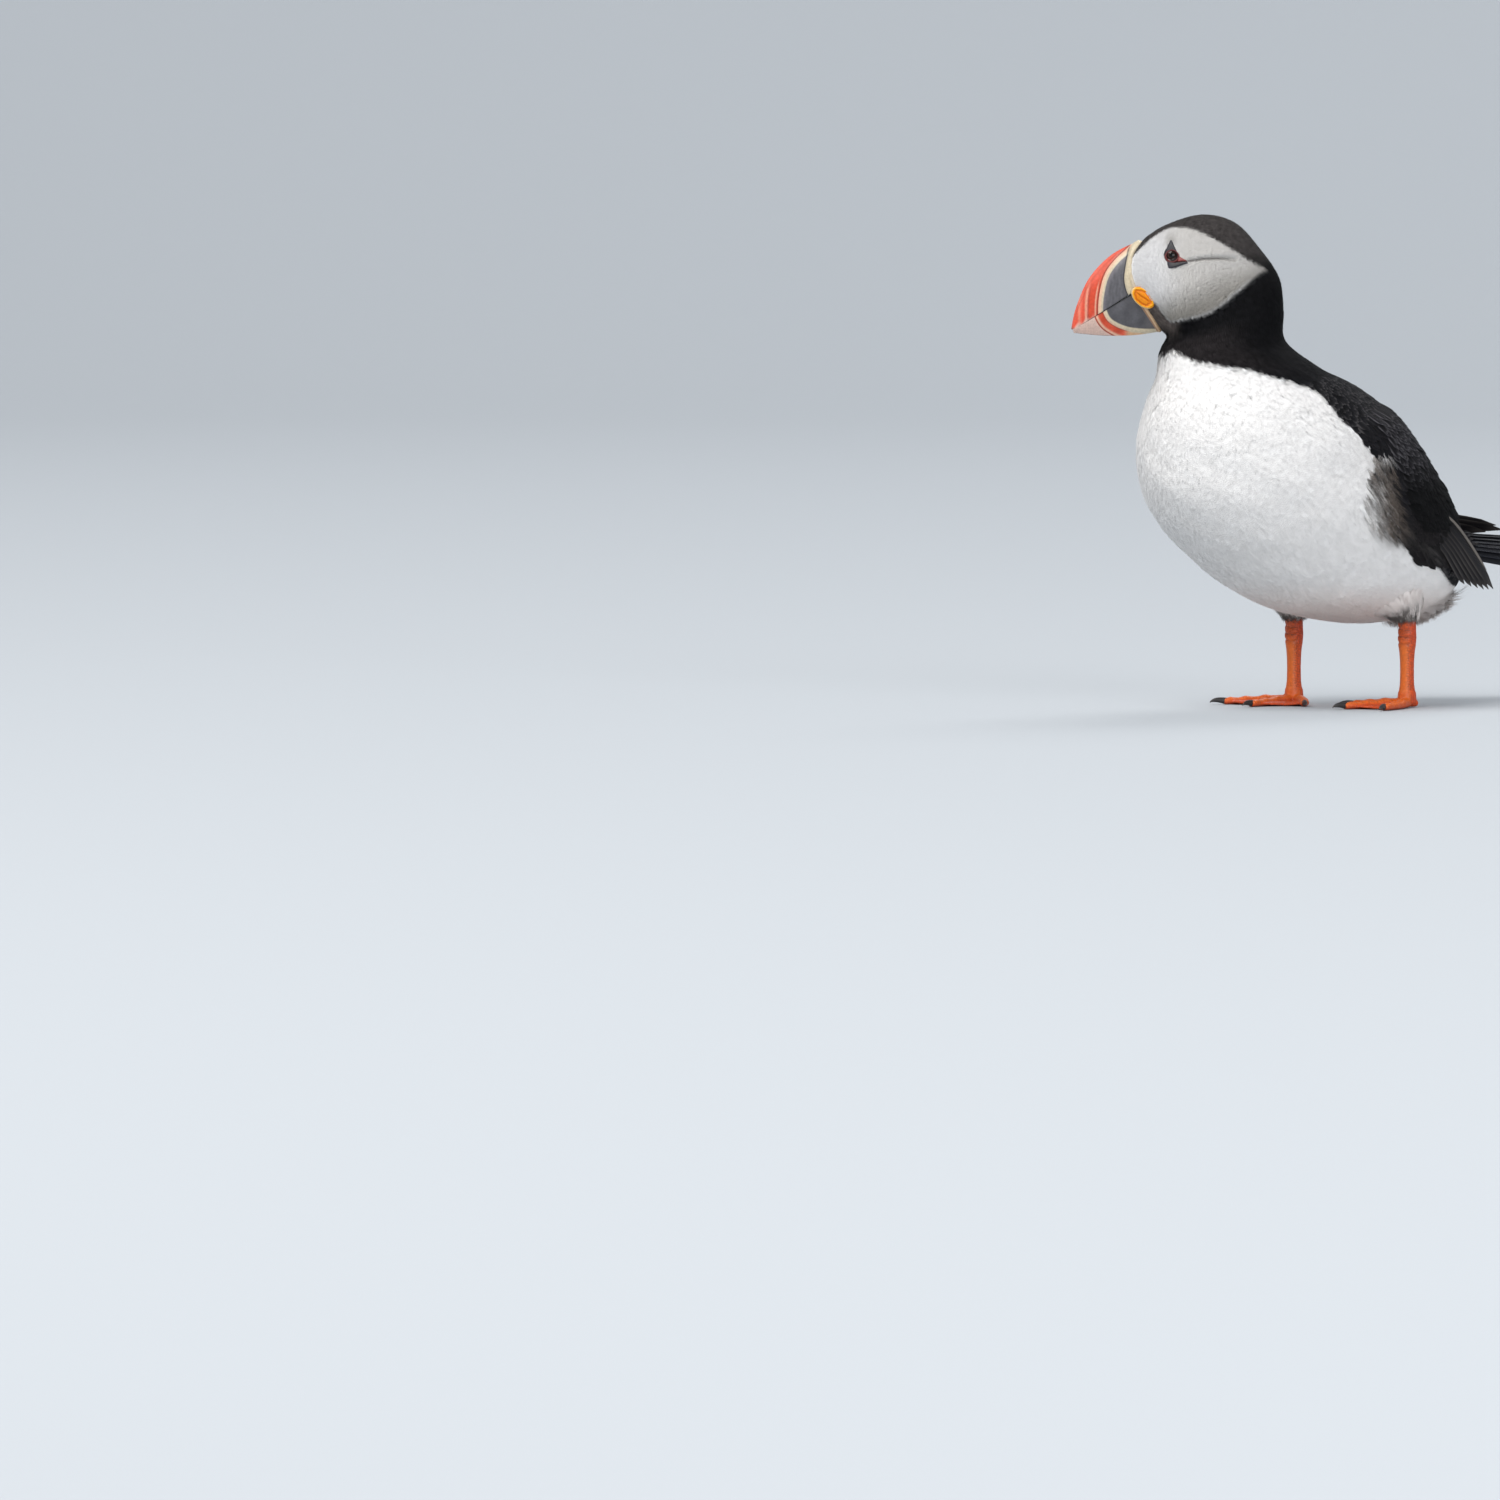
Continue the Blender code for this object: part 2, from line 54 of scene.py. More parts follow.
# Sections across the body, bill to vent: upper point, lower point (forward, up), half width, how far the
# sides bow forward and how far the widest line lies above the middle.
SECTIONS = np.array(
    [
        (36.9, 209.7, 28.2, 168.6, 9.6, 8.0, 0.00),
        (26.5, 216.4, 26.9, 167.6, 15.6, 5.0, -0.10),
        (10.0, 221.2, 26.1, 167.0, 20.3, 1.0, -0.20),
        (-5.0, 217.5, 25.9, 166.3, 22.0, 0.0, -0.22),
        (-16.5, 205.4, 25.8, 165.6, 22.2, 0.0, -0.15),
        (-25.0, 192.4, 26.5, 164.8, 22.4, 0.0, -0.08),
        (-26.9, 177.5, 27.6, 163.0, 23.6, 0.0, 0.00),
        (-27.9, 164.5, 29.6, 158.5, 26.0, 0.0, 0.00),
        (-44.0, 153.5, 31.0, 148.5, 33.5, 0.0, 0.02),
        (-62.0, 146.0, 36.5, 135.0, 41.5, 0.0, 0.04),
        (-79.5, 135.5, 39.8, 118.0, 47.5, 0.0, 0.03),
        (-93.5, 121.5, 37.8, 100.5, 51.0, 0.0, 0.02),
        (-104.0, 107.5, 29.0, 84.5, 52.5, 0.0, 0.00),
        (-111.5, 96.0, 11.5, 68.0, 52.0, 0.0, -0.02),
        (-117.0, 87.0, -8.5, 54.0, 49.0, 0.0, -0.04),
        (-120.5, 79.5, -31.0, 43.8, 44.0, 0.0, -0.05),
        (-122.5, 72.5, -56.0, 38.6, 36.5, 0.0, -0.05),
        (-123.5, 66.0, -80.0, 37.2, 27.5, 0.0, -0.05),
        (-123.5, 59.5, -100.0, 40.5, 18.0, 0.0, 0.00),
        (-121.0, 53.0, -113.5, 46.5, 7.5, 0.0, 0.00),
    ]
)
VENT = len(SECTIONS) - 1.0
# Where each leg stands: x and y.
ANKLES = {"left": (30.4, 37.4), "right": (-23.2, 12.8)}


def rise(low, high, x):
    """0 below low, 1 above high and a smooth step between."""
    t = np.clip((np.asarray(x, float) - low) / (high - low), 0, 1)
    return t * t * (3 - 2 * t)


def curve_through(points, count):
    """Points along a smooth curve through a few given ones."""
    p = np.array(points, float)
    s = np.linspace(0, len(p) - 1, count)
    return along(p, s)


def along(rows, s):
    """The rows' values at the positions s, on a smooth curve through them."""
    last = len(rows) - 1
    i = np.clip(np.floor(s).astype(int), 0, last - 1)
    t = (s - i)[:, None]
    p0, p1, p2, p3 = (rows[np.clip(i + k, 0, last)] for k in (-1, 0, 1, 2))
    cubic = (3 * p1 - p0 - 3 * p2 + p3) * t**3 + (2 * p0 - 5 * p1 + 4 * p2 - p3) * t**2
    return 0.5 * (cubic + (p2 - p0) * t + 2 * p1)


def beside(forward, up, curve):
    """How far points lie from a curve, + on the left of its direction, and how far along it, 0 to 1."""
    p = np.stack([np.ravel(forward), np.ravel(up)], 1)
    best = np.full(len(p), 1e9)
    sign = np.ones(len(p))
    share = np.zeros(len(p))
    for k in range(len(curve) - 1):
        a, b = curve[k], curve[k + 1]
        way = b - a
        t = np.clip(((p - a) @ way) / max(way @ way, 1e-9), 0, 1)
        gap = p - (a + t[:, None] * way)
        d = np.hypot(gap[:, 0], gap[:, 1])
        closer = d < best
        turn = way[0] * gap[:, 1] - way[1] * gap[:, 0]
        best = np.where(closer, d, best)
        sign = np.where(closer, np.where(turn >= 0, 1, -1), sign)
        share = np.where(closer, (k + t) / (len(curve) - 1), share)
    return best * sign, share


# The grey face: its border, from the culmen round over the eye to the point behind it and back under.
FACE_BORDER = curve_through(
    [
        (41.8, 201.5), (39.4, 204.4), (35.7, 208.2), (30.6, 212.3), (25.5, 215.1), (20.4, 215.6),
        (14.3, 214.7), (4.1, 210.2), (-5.5, 204.4), (-13.2, 199.6), (-18.9, 196.9), (-15.4, 194.9),
        (-7.7, 188.6),
        (2.6, 180.1), (9.5, 176.4), (18.5, 174.1), (24.5, 173.3), (28.3, 177.0), (31.5, 181.6),
        (35.0, 182.0), (41.0, 183.5), (45.0, 190.0), (44.5, 196.5), (41.8, 201.5),
    ],
    121,
)
# The fold behind the eye.
CREASE = curve_through(
    [(16.8, 200.7), (12.6, 201.4), (8.6, 201.9), (3.3, 202.1), (-0.5, 202.0), (-4.5, 201.7)], 17
)
# The middle of the eye: forward and up.
EYE_AT = np.array([23.8, 202.7])


def in_face(forward, up):
    """How deep inside the face's border a point lies, in millimetres, - outside it."""
    return beside(forward, up, FACE_BORDER)[0]


# Wing borders in degrees from the back's middle. The right wing is held higher than the left.
WING_START, WING_STOP = 9.8, 16.4
WING_UPPER = {1: [44, 38, 34, 32, 33, 38, 46, 54], -1: [44, 38, 34, 30, 27, 26, 26, 28]}
WING_LOWER = {1: [72, 73, 70, 76, 84, 80, 76, 74], -1: [72, 73, 70, 74, 76, 70, 62, 56]}


def on_wing(s, angle):
    """1 on the folded wings, falling to 0 over their borders."""
    deg = np.degrees(np.abs(angle))
    share = np.clip((s - WING_START) / (WING_STOP - WING_START), 0, 1) * 7
    left = angle >= 0
    low, high = (
        np.where(left, np.interp(share, range(8), border[1]), np.interp(share, range(8), border[-1]))
        for border in (WING_LOWER, WING_UPPER)
    )
    ends = rise(WING_START - 0.1, WING_START + 0.5, s) * (1 - rise(WING_STOP - 0.25, WING_STOP + 0.15, s))
    return ends * (1 - rise(low - 3, low + 1, deg)) * rise(high - 3, high + 3, deg)


def swell(s, angle, forward, side, up):
    """How far the plumage stands above the plain sections: cheeks, eye, crease, wings and soft lumps."""
    head = 1 - rise(5.6, 6.6, s)
    depth_in = in_face(forward, up)
    from_eye = np.hypot(forward - EYE_AT[0], up - EYE_AT[1])
    crease, _ = beside(forward, up, CREASE)
    cheek = rise(-2.6, 2.4, depth_in) * (1 - rise(186, 199, up)) * rise(34, 24, forward) * 0.9
    hollow = -0.75 * np.exp(-((from_eye / 4.2) ** 2))
    ends = rise(-13.0, -7.0, forward) * rise(18.5, 15.5, forward)
    fold = ends * (-1.15 * np.exp(-((crease / 0.7) ** 2)) + 0.45 * np.exp(-(((crease + 1.9) / 1.4) ** 2)))
    sides = rise(0.25, 0.55, np.abs(np.sin(angle)))
    face = head * sides * (cheek + hollow + fold)
    lumps = np.sin(0.19 * up + 1.3 + 0.05 * side) * np.sin(0.17 * forward + 0.11 * side + 0.4)
    lumps += 0.5 * np.sin(0.37 * up - 0.21 * forward + 0.9) * np.sin(0.31 * side + 0.2 * forward)
    body = rise(6.5, 9.0, s) * (0.35 * lumps)
    return face + body + 1.5 * on_wing(s, angle)


def spread_alike(*values):
    """Numbers or arrays as arrays of one shape."""
    return np.broadcast_arrays(*[np.asarray(value, float) for value in values])


def outline(s, angle, above=0.0):
    """Points on the plumage's outline, raised by above millimetres. Also each point's forward, side and up
    before the head is turned, which is how the markings are laid out."""
    s, angle, above = spread_alike(s, angle, above)
    shape = s.shape
    s, angle, above = s.ravel(), angle.ravel(), above.ravel()
    v = along(SECTIONS, s)
    across, lengthwise = np.sin(angle), np.cos(angle)
    middle, reach = (v[:, 0:2] + v[:, 2:4]) / 2, (v[:, 0:2] - v[:, 2:4]) / 2
    flat = middle + reach * (lengthwise + v[:, 6] * across**2)[:, None]
    flat[:, 0] += v[:, 5] * across**2 * (1 + 0.5 * lengthwise)
    span = np.linalg.norm(reach, axis=1)
    out = np.stack([across / np.maximum(v[:, 4], 1), lengthwise / np.maximum(span, 1)], 1)
    out /= np.linalg.norm(out, axis=1)[:, None]
    side = v[:, 4] * across
    above = above + swell(s, angle, flat[:, 0], side, flat[:, 1])
    marks = np.stack([flat[:, 0], side, flat[:, 1]], 1)
    flat = flat + reach / span[:, None] * (out[:, 1] * above)[:, None]
    side = side + out[:, 0] * above
    turn = 1 - rise(0, 1, (s - 6.0) / 3.0)
    return turned(flat[:, 0], side, flat[:, 1], turn).reshape(*shape, 3), marks.reshape(*shape, 3)


def turned(forward, side, up, turn=1.0):
    """Points given in the head's way round, in the bird's own frame, in metres."""
    swing = -HEAD_TURN * turn
    x = side * np.cos(swing) + forward * np.sin(swing)
    y = side * np.sin(swing) - forward * np.cos(swing)
    return (np.stack([x, y + NECK_Y, up + HEAD_LIFT * turn], -1) - MIDDLE) * MM


def normals_at(s, angle, above=0.0):
    """The outward direction of the plumage's outline, and the way a feather lies there."""
    ahead, _ = outline(s + 0.02, angle, above)
    behind, _ = outline(s - 0.02, angle, above)
    one, _ = outline(s, angle + 0.01, above)
    other, _ = outline(s, angle - 0.01, above)
    lie = unit(ahead - behind)
    return unit(np.cross(one - other, lie)), lie


def unit(v):
    """Directions brought to length 1."""
    return v / np.maximum(np.linalg.norm(v, axis=-1, keepdims=True), 1e-12)


def colour(red, green, blue):
    """A colour of everyday screens, 0 to 255, as the light it reflects."""
    c = np.array([red, green, blue], float) / 255
    return np.where(c <= 0.04045, c / 12.92, ((c + 0.055) / 1.055) ** 2.4)


def mixed(base, other, share):
    """Two colours mixed, with a share of the other for each place."""
    return base + (other - base) * np.asarray(share)[..., None]


BLACK, NECK_BLACK, CROWN_GREY = colour(22, 22, 25), colour(18, 18, 20), colour(73, 69, 68)
WHITE, BELLY_WHITE = colour(246, 244, 242), colour(240, 228, 221)
# The cheek grey is the lower cheek's own darker grey, and it also serves as painted shade on the lower face
# and above the eye.
FACE_PALE, FACE_GREY, CHEEK_GREY_AND_SHADE = colour(216, 215, 215), colour(198, 195, 191), colour(142, 138, 131)
CHIN_BROWN, FLANK_BROWN = colour(122, 112, 107), colour(112, 100, 91)

# Where the black of the back ends: degrees from the back's middle, section by section.
BACK_EDGE = (
    [7.8, 8.1, 8.4, 8.6, 9.0, 9.7, 10.2, 10.8, 11.4, 12.0, 12.9, 13.6, 14.0, 14.6, 15.2, 16.3, 17.2, 19.0],
    [100, 92, 85, 80, 78, 79, 75, 70, 66, 68, 74, 79, 77, 73, 72, 70, 71, 62],
)
# Where the black collar ends across the throat: the section, by degrees from the back's middle.
COLLAR_EDGE = (
    [0, 85, 92, 100, 116, 132, 146, 155, 166, 180],
    [9, 8.4, 8.1, 7.8, 7.6, 7.35, 6.85, 6.9, 7.1, 7.15],
)


def plumage_colour(s, angle, marks):
    """The plumage's colour at a place on the body."""
    forward, side, up = marks[..., 0], marks[..., 1], marks[..., 2]
    deg = np.degrees(np.abs(np.angle(np.exp(1j * angle))))
    waver = 0.5 * np.sin(1.9 * up + 0.7 * forward) + 0.5 * np.sin(1.3 * forward - 2.3 * up + 1.1 * side)
    # Black collar and back, white below with a brown flank, then the grey face over both.
    collar = (np.interp(deg, *COLLAR_EDGE) - s) * 9.0 + 0.5 * waver
    back = (np.interp(s, *BACK_EDGE) - deg) * 0.85 + 0.9 * waver
    dark = np.maximum(rise(-0.5, 0.7, collar), rise(-0.9, 0.9, back) * rise(7.4, 7.9, s))
    low = rise(60, 40, up) * rise(9, 13, s)
    pale = mixed(WHITE, BELLY_WHITE, low)
    flank = rise(19, 5, deg - np.interp(s, *BACK_EDGE)) * rise(10.8, 12.0, s) * rise(14.2, 13.3, s)
    pale = mixed(pale, FLANK_BROWN, 0.75 * flank * (0.65 + 0.35 * waver))
    black = mixed(BLACK, NECK_BLACK, rise(8.5, 6.5, s))
    black = mixed(black, CROWN_GREY, rise(197, 206, up) * rise(6.0, 5.0, s))
    # Lighter brown-grey on the front of the throat, partly the feathers' own colour and partly painted sheen.
    black = mixed(black, colour(46, 42, 43), 0.7 * rise(60, 100, deg) * rise(8.4, 7.4, s) * rise(5.6, 6.3, s))
    result = mixed(pale, black, dark)
    depth_in = in_face(forward, up).reshape(up.shape)
    sides = rise(0.22, 0.34, np.abs(np.sin(angle)))
    face = rise(-0.35, 0.45, depth_in + 0.18 * waver) * rise(6.2, 5.9, s) * sides
    grey = mixed(FACE_GREY, FACE_PALE, rise(16, 33, forward))
    # The rear of the lower cheek is a darker grey of its own.
    grey = mixed(grey, CHEEK_GREY_AND_SHADE, 0.35 * rise(20, 0, forward) * rise(201, 188, up))
    # Painted shade: the face gets darker towards its bottom, where it turns down away from the light.
    grey = mixed(grey, CHEEK_GREY_AND_SHADE, rise(192, 175, up + 0.35 * (forward - 20)) * rise(40, 26, forward))
    # Painted shade in the hollow above the plate over the eye.
    brow = np.hypot(forward - EYE_AT[0] - 0.4, (up - EYE_AT[1] - 7.6) * 0.8)
    grey = mixed(grey, CHEEK_GREY_AND_SHADE, 0.6 * np.exp(-((brow / 2.3) ** 2)))
    # Painted highlight along the lower edge of the cheek, where its bulge catches the light.
    rim = rise(1.2, 0.4, depth_in) * rise(196, 188, up) * rise(30, 22, forward)
    grey = mixed(grey, FACE_PALE, 0.6 * rim)
    crease, _ = beside(forward, up, CREASE)
    # Painted shade in the fold behind the eye.
    crease_shade = np.exp(-((crease.reshape(up.shape) / 0.45) ** 2)) * rise(-6.0, 3.0, forward)
    grey = mixed(grey, colour(96, 92, 88), 0.9 * crease_shade)
    result = mixed(result, grey, face)
    chin = rise(-9.5, -1.0, depth_in) * rise(0.3, -0.8, depth_in) * rise(19, 25, forward) * rise(190, 184, up)
    return mixed(result, CHIN_BROWN, chin * rise(6.0, 5.0, s))


def feather_depth(s, angle):
    """How deep the skin lies under the outline, in millimetres."""
    deg = np.degrees(np.abs(np.angle(np.exp(1j * angle))))
    deep = np.interp(s, [0, 1.0, 3.0, 5.0, 6.5, 8.0, 10.0, 13.0, 16.0, 19.0],
                     [0.7, 0.9, 1.1, 1.3, 1.4, 1.5, 1.8, 2.6, 2.8, 2.0])
    return deep * (1 - 0.3 * rise(80, 60, deg) * rise(8, 10, s))


def paint(mesh, tints):
    """Paints a colour on each of a mesh's points."""
    rgba = np.ones((len(mesh.vertices), 4), np.float32)
    rgba[:, :3] = tints
    layer = mesh.color_attributes.new("pigment", "FLOAT_COLOR", "POINT")
    layer.data.foreach_set("color", rgba.ravel())


def point_normals(mesh):
    """The outward direction at each of a mesh's points."""
    normals = np.empty(len(mesh.vertices) * 3, np.float32)
    mesh.vertices.foreach_get("normal", normals)
    return normals.reshape(-1, 3).astype(float)


def add_mesh(name, points, faces, tints=None):
    """A smooth mesh object from arrays, with a colour for each point."""
    mesh = bpy.data.meshes.new(name)
    faces = np.asarray(faces)
    mesh.vertices.add(len(points))
    mesh.vertices.foreach_set("co", np.asarray(points, np.float32).ravel())
    mesh.loops.add(faces.size)
    mesh.loops.foreach_set("vertex_index", faces.astype(np.int32).ravel())
    mesh.polygons.add(len(faces))
    mesh.polygons.foreach_set("loop_start", np.arange(0, faces.size, faces.shape[1], dtype=np.int32))
    mesh.update(calc_edges=True)
    mesh.polygons.foreach_set("use_smooth", np.ones(len(faces), bool))
    if tints is not None:
        paint(mesh, tints)
    mesh.validate()
    made = bpy.data.objects.new(name, mesh)
    scene.collection.objects.link(made)
    return made


def grid_faces(rows, columns, round_columns=False):
    """The four-sided faces of a grid of points, rows by columns."""
    i, j = np.meshgrid(np.arange(rows - 1), np.arange(columns - (0 if round_columns else 1)), indexing="ij")
    a = i * columns + j
    b = i * columns + (j + 1) % columns
    return np.stack([a, b, b + columns, a + columns], -1).reshape(-1, 4)


def closed_tube(rings):
    """Points and faces of a tube through rings of points, drawn in at both ends to a small hole."""
    ends = [rings[0].mean(0), rings[-1].mean(0)]
    steps = [ends[0] + (rings[0] - ends[0]) * k for k in (0.02, 0.5)]
    stops = [ends[1] + (rings[-1] - ends[1]) * k for k in (0.5, 0.02)]
    rings = np.concatenate([np.array(steps), rings, np.array(stops)])
    return rings.reshape(-1, 3), grid_faces(*rings.shape[:2], True)


def to_ends(tints):
    """A colour for each point of a closed tube, from the colours of its rings."""
    return np.concatenate([tints[:1], tints[:1], tints, tints[-1:], tints[-1:]]).reshape(-1, 3)


def turn_out(obj):
    """Closes a mesh's holes with faces and turns all of its faces outwards."""
    bm = bmesh.new()
    bm.from_mesh(obj.data)
    bmesh.ops.holes_fill(bm, edges=[e for e in bm.edges if e.is_boundary], sides=0)
    bmesh.ops.recalc_face_normals(bm, faces=bm.faces)
    bm.to_mesh(obj.data)
    bm.free()


# How high a thigh's lower end lies, how far it goes up, and how deep its skin lies under the cuff.
THIGH_FOOT, THIGH_HIGH, THIGH_DEPTH = 38.0, 16.0, 1.3


def thigh_ring(side, t, angle, above=0.0):
    """Points on a thigh's feathered cuff: t from 0 at the belly to 1 above the ankle joint."""
    t, angle, above = spread_alike(t, angle, above)
    height = THIGH_FOOT + (1 - t) * THIGH_HIGH
    radius = np.interp(height, [38.0, 40.0, 43.0, 47.0, 54.0], [3.9, 4.8, 6.6, 8.2, 7.0]) + above
    lean = np.interp(height, [38.0, 41.0, 45.0, 49.0, 54.0], [0, 0.5, 2.0, 4.0, 6.0])
    inwards = np.interp(height, [38.0, 41.0, 44.5, 48.5, 54.0], [0.99, 0.95, 0.86, 0.70, 0.50])
    x = ANKLES[side][0] * inwards + radius * np.cos(angle)
    y = ANKLES[side][1] - lean + radius * np.sin(angle)
    return (np.stack([x, y, height], -1) - MIDDLE) * MM


def round_grid(start, stop, rows, columns):
    """Two values for each point of a round grid: one from start to stop, one once round."""
    around = np.linspace(0, math.tau, columns + 1)[:-1]
    return np.meshgrid(np.linspace(start, stop, rows), around, indexing="ij")


def build_skin():
    """The body from bill to vent, then a tube for each thigh, which starts inside it."""
    s, angle = round_grid(0.0, VENT, 267, 144)
    rings, marks = outline(s, angle, -feather_depth(s, angle))
    points, faces = closed_tube(rings)
    tints = to_ends(plumage_colour(s, angle, marks))
    for side in ANKLES:
        t, a = round_grid(0, 1, 24, 40)
        more, more_faces = closed_tube(thigh_ring(side, t, a, -THIGH_DEPTH))
        faces = np.concatenate([faces, more_faces + len(points)])
        points = np.concatenate([points, more])
        tints = np.concatenate([tints, np.tile(mixed(WHITE, FLANK_BROWN, 0.5), (len(more), 1))])
    skin = add_mesh("skin", points, faces, tints)
    turn_out(skin)
    return skin


skin = build_skin()


def new_material(name, roughness, **levels):
    """A material whose shader takes its colour from the pigment painted on the mesh."""
    made = bpy.data.materials.new(name)
    made.use_nodes = True
    shader = made.node_tree.nodes["Principled BSDF"]
    shader.inputs["Roughness"].default_value = roughness
    for socket, level in levels.items():
        shader.inputs[socket.replace("_", " ")].default_value = level
    pigment = made.node_tree.nodes.new("ShaderNodeAttribute")
    pigment.attribute_name = "pigment"
    made.node_tree.links.new(pigment.outputs["Color"], shader.inputs["Base Color"])
    return made, shader, pigment


skin_finish, _, _ = new_material("skin under feathers", 0.85, Specular_IOR_Level=0.2)
skin.data.materials.append(skin_finish)
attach(skin, "root")
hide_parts("head", "neck", "trunk", "thigh_left", "thigh_right", "wing_left", "wing_right")

# ---------------------------------------------------------------------------------------------------
# Legs. Scaly orange skin over the bones: a flattened shank, three toes that lie flat on the ground with a
# web between them. Each leg is one skin, drawn tight at the ankle joint and over the toe joints.
# ---------------------------------------------------------------------------------------------------

# Each toe's bearing in degrees from straight ahead, its length and its half width.
TOES = {
    "left": {"inner": (-33, 25.0, 2.3), "middle": (-2, 33.5, 2.6), "outer": (36, 32.0, 2.4)},
    "right": {"outer": (-26, 32.0, 2.4), "middle": (20, 33.5, 2.6), "inner": (66, 25.0, 2.3)},
}
# The leg's yellow tints the toes and also serves as a painted highlight on the front of the shank.
LEG_ORANGE, LEG_YELLOW_AND_HIGHLIGHT, LEG_RED = colour(212, 80, 22), colour(228, 126, 42), colour(196, 60, 20)
# The colour of the painted shade in the legs' grooves and where they meet the ground.
LEG_SHADE = colour(92, 52, 38)
# How high the web's middle lies.
WEB_LEVEL = 1.35


def toe_way(degrees):
    """The way a toe points along the ground."""
    a = math.radians(degrees)
    return np.array([math.sin(a), -math.cos(a)])


def toe_spine(side, name, count):
    """Points along the top middle of a toe, in the bird's frame and in millimetres, with its half width."""
    degrees, length, half = TOES[side][name]
    t = np.linspace(0, 1, count)
    way = toe_way(degrees)
    ankle = np.array(ANKLES[side])
    bend = {"inner": -1.6, "middle": 0.4, "outer": 1.6}[name] * (1 if side == "left" else -1)
    across = np.array([-way[1], way[0]])
    flat = ankle + t[:, None] * length * way + (bend * np.sin(math.pi * t))[:, None] * across
    joints = sum(np.exp(-(((t - at) * length / 2.1) ** 2)) for at in (0.40, 0.68, 0.90))
    width = half * (1.0 - 0.22 * t + 0.13 * joints)
    height = WEB_LEVEL + 0.95 * (1 - t) + 0.30 * joints
    return np.column_stack([flat, height * 0.98 + 0.05]), width, height, t


def tube_around(spine, width, height, sides):
    """Rings of a flattened tube that rests on the ground along a spine."""
    way = unit(np.gradient(spine, axis=0) * [1, 1, 0])
    across = np.stack([-way[:, 1], way[:, 0], 0 * way[:, 0]], 1)
    a = np.linspace(0, math.tau, sides + 1)[:-1]
    ring = spine[:, None] + across[:, None] * (np.cos(a) * width[:, None])[..., None]
    ring = ring + np.array([0, 0, 1.0]) * (np.sin(a) * height[:, None])[..., None]
    return ring


def build_leg(side):
    """Shank, toes, heel and webs as closed parts, joined into one skin."""
    ankle = np.array(ANKLES[side])
    parts = []
    up = np.array([2.2, 4.0, 6.6, 8.0, 11.0, 16.0, 21.0, 25.0, 28.5, 31.0, 34.0, 42.0])
    radius = np.array([4.3, 4.5, 4.3, 3.75, 3.4, 3.3, 3.4, 3.7, 4.25, 4.4, 4.1, 4.0])
    z = np.linspace(up[0], up[-1], 140)
    r = np.interp(z, up, radius)
    a = np.linspace(0, math.tau, 49)[:-1]
    flatness = 0.84 + 0.16 * rise(30, 33, z)
    x = ankle[0] + (r * flatness)[:, None] * np.cos(a)
    y = ankle[1] + r[:, None] * np.sin(a)
    parts.append(np.stack([x, y, z[:, None] + 0 * x], -1))
    for name in TOES[side]:
        spine, width, height, _ = toe_spine(side, name, 60)
        parts.append(tube_around(spine, width, height, 24))
    heel = np.array([[*(ankle + [0.2, 5.0]), 1.9], [*(ankle + [0.1, 2.5]), 2.4], [*ankle, 3.0]])
    heel_spine = along(heel, np.linspace(0, 2, 14))
    parts.append(tube_around(heel_spine, np.linspace(2.0, 3.6, 14), np.linspace(1.5, 2.7, 14), 20))
    points, faces = [], []
    for rings in parts:
        more, more_faces = closed_tube(rings)
        faces.append(more_faces + sum(len(p) for p in points))
        points.append(more)
    names = sorted(TOES[side], key=lambda n: TOES[side][n][0])
    rows_out, columns = 40, 30
    total = rows_out * columns
    for one, other in zip(names, names[1:]):
        a_spine, _, _, t = toe_spine(side, one, rows_out)
        b_spine, _, _, _ = toe_spine(side, other, rows_out)
        across = np.linspace(0, 1, columns)
        reach = 0.97 - 0.15 * np.sin(math.pi * across)
        rows = t[:, None] * reach
        pa = np.stack([np.interp(rows, t, a_spine[:, k]) for k in range(3)], -1)
        pb = np.stack([np.interp(rows, t, b_spine[:, k]) for k in range(3)], -1)
        sheet = pa + (pb - pa) * across[None, :, None]
        sag = np.sin(math.pi * across)
        ripple = 0.28 * sag * np.sin(9 * rows + 6 * across)
        level = WEB_LEVEL + (sheet[..., 2] - WEB_LEVEL) * (1 - sag) ** 1.5 + ripple
        top, bottom = sheet.copy(), sheet.copy()
        top[..., 2] = np.maximum(level + 0.35, 1.2)
        bottom[..., 2] = np.maximum(level - 0.75, 0.15)
        block = np.concatenate([top.reshape(-1, 3), bottom.reshape(-1, 3)])
        grid = grid_faces(rows_out, columns)
        under = grid[:, ::-1] + total
        edge = np.concatenate([
            np.arange(columns),
            np.arange(1, rows_out) * columns + columns - 1,
            (rows_out - 1) * columns + np.arange(columns - 2, -1, -1),
            np.arange(rows_out - 2, 0, -1) * columns,
        ])
        after = np.roll(edge, -1)
        wall = np.stack([after, edge, edge + total, after + total], 1)
        faces.append(np.concatenate([grid, under, wall]) + sum(len(p) for p in points))
        points.append(block)
    points = (np.concatenate(points) - MIDDLE) * MM
    leg = add_mesh("leg_" + side, points, np.concatenate(faces))
    turn_out(leg)
    remesh = leg.modifiers.new("one skin", "REMESH")
    remesh.mode = "VOXEL"
    remesh.voxel_size = 0.34 * MM
    remesh.use_smooth_shade = True
    soften = leg.modifiers.new("soften", "SMOOTH")
    soften.factor = 0.6
    soften.iterations = 7
    apply_modifiers(leg)
    return leg


def apply_modifiers(obj):
    """Makes what an object's modifiers show its own mesh."""
    graph = bpy.context.evaluated_depsgraph_get()
    made = bpy.data.meshes.new_from_object(obj.evaluated_get(graph), depsgraph=graph)
    obj.modifiers.clear()
    old = obj.data
    obj.data = made
    bpy.data.meshes.remove(old)


def points_of(obj):
    """The places of a mesh object's points."""
    co = np.empty(len(obj.data.vertices) * 3, np.float32)
    obj.data.vertices.foreach_get("co", co)
    return co.reshape(-1, 3).astype(float)


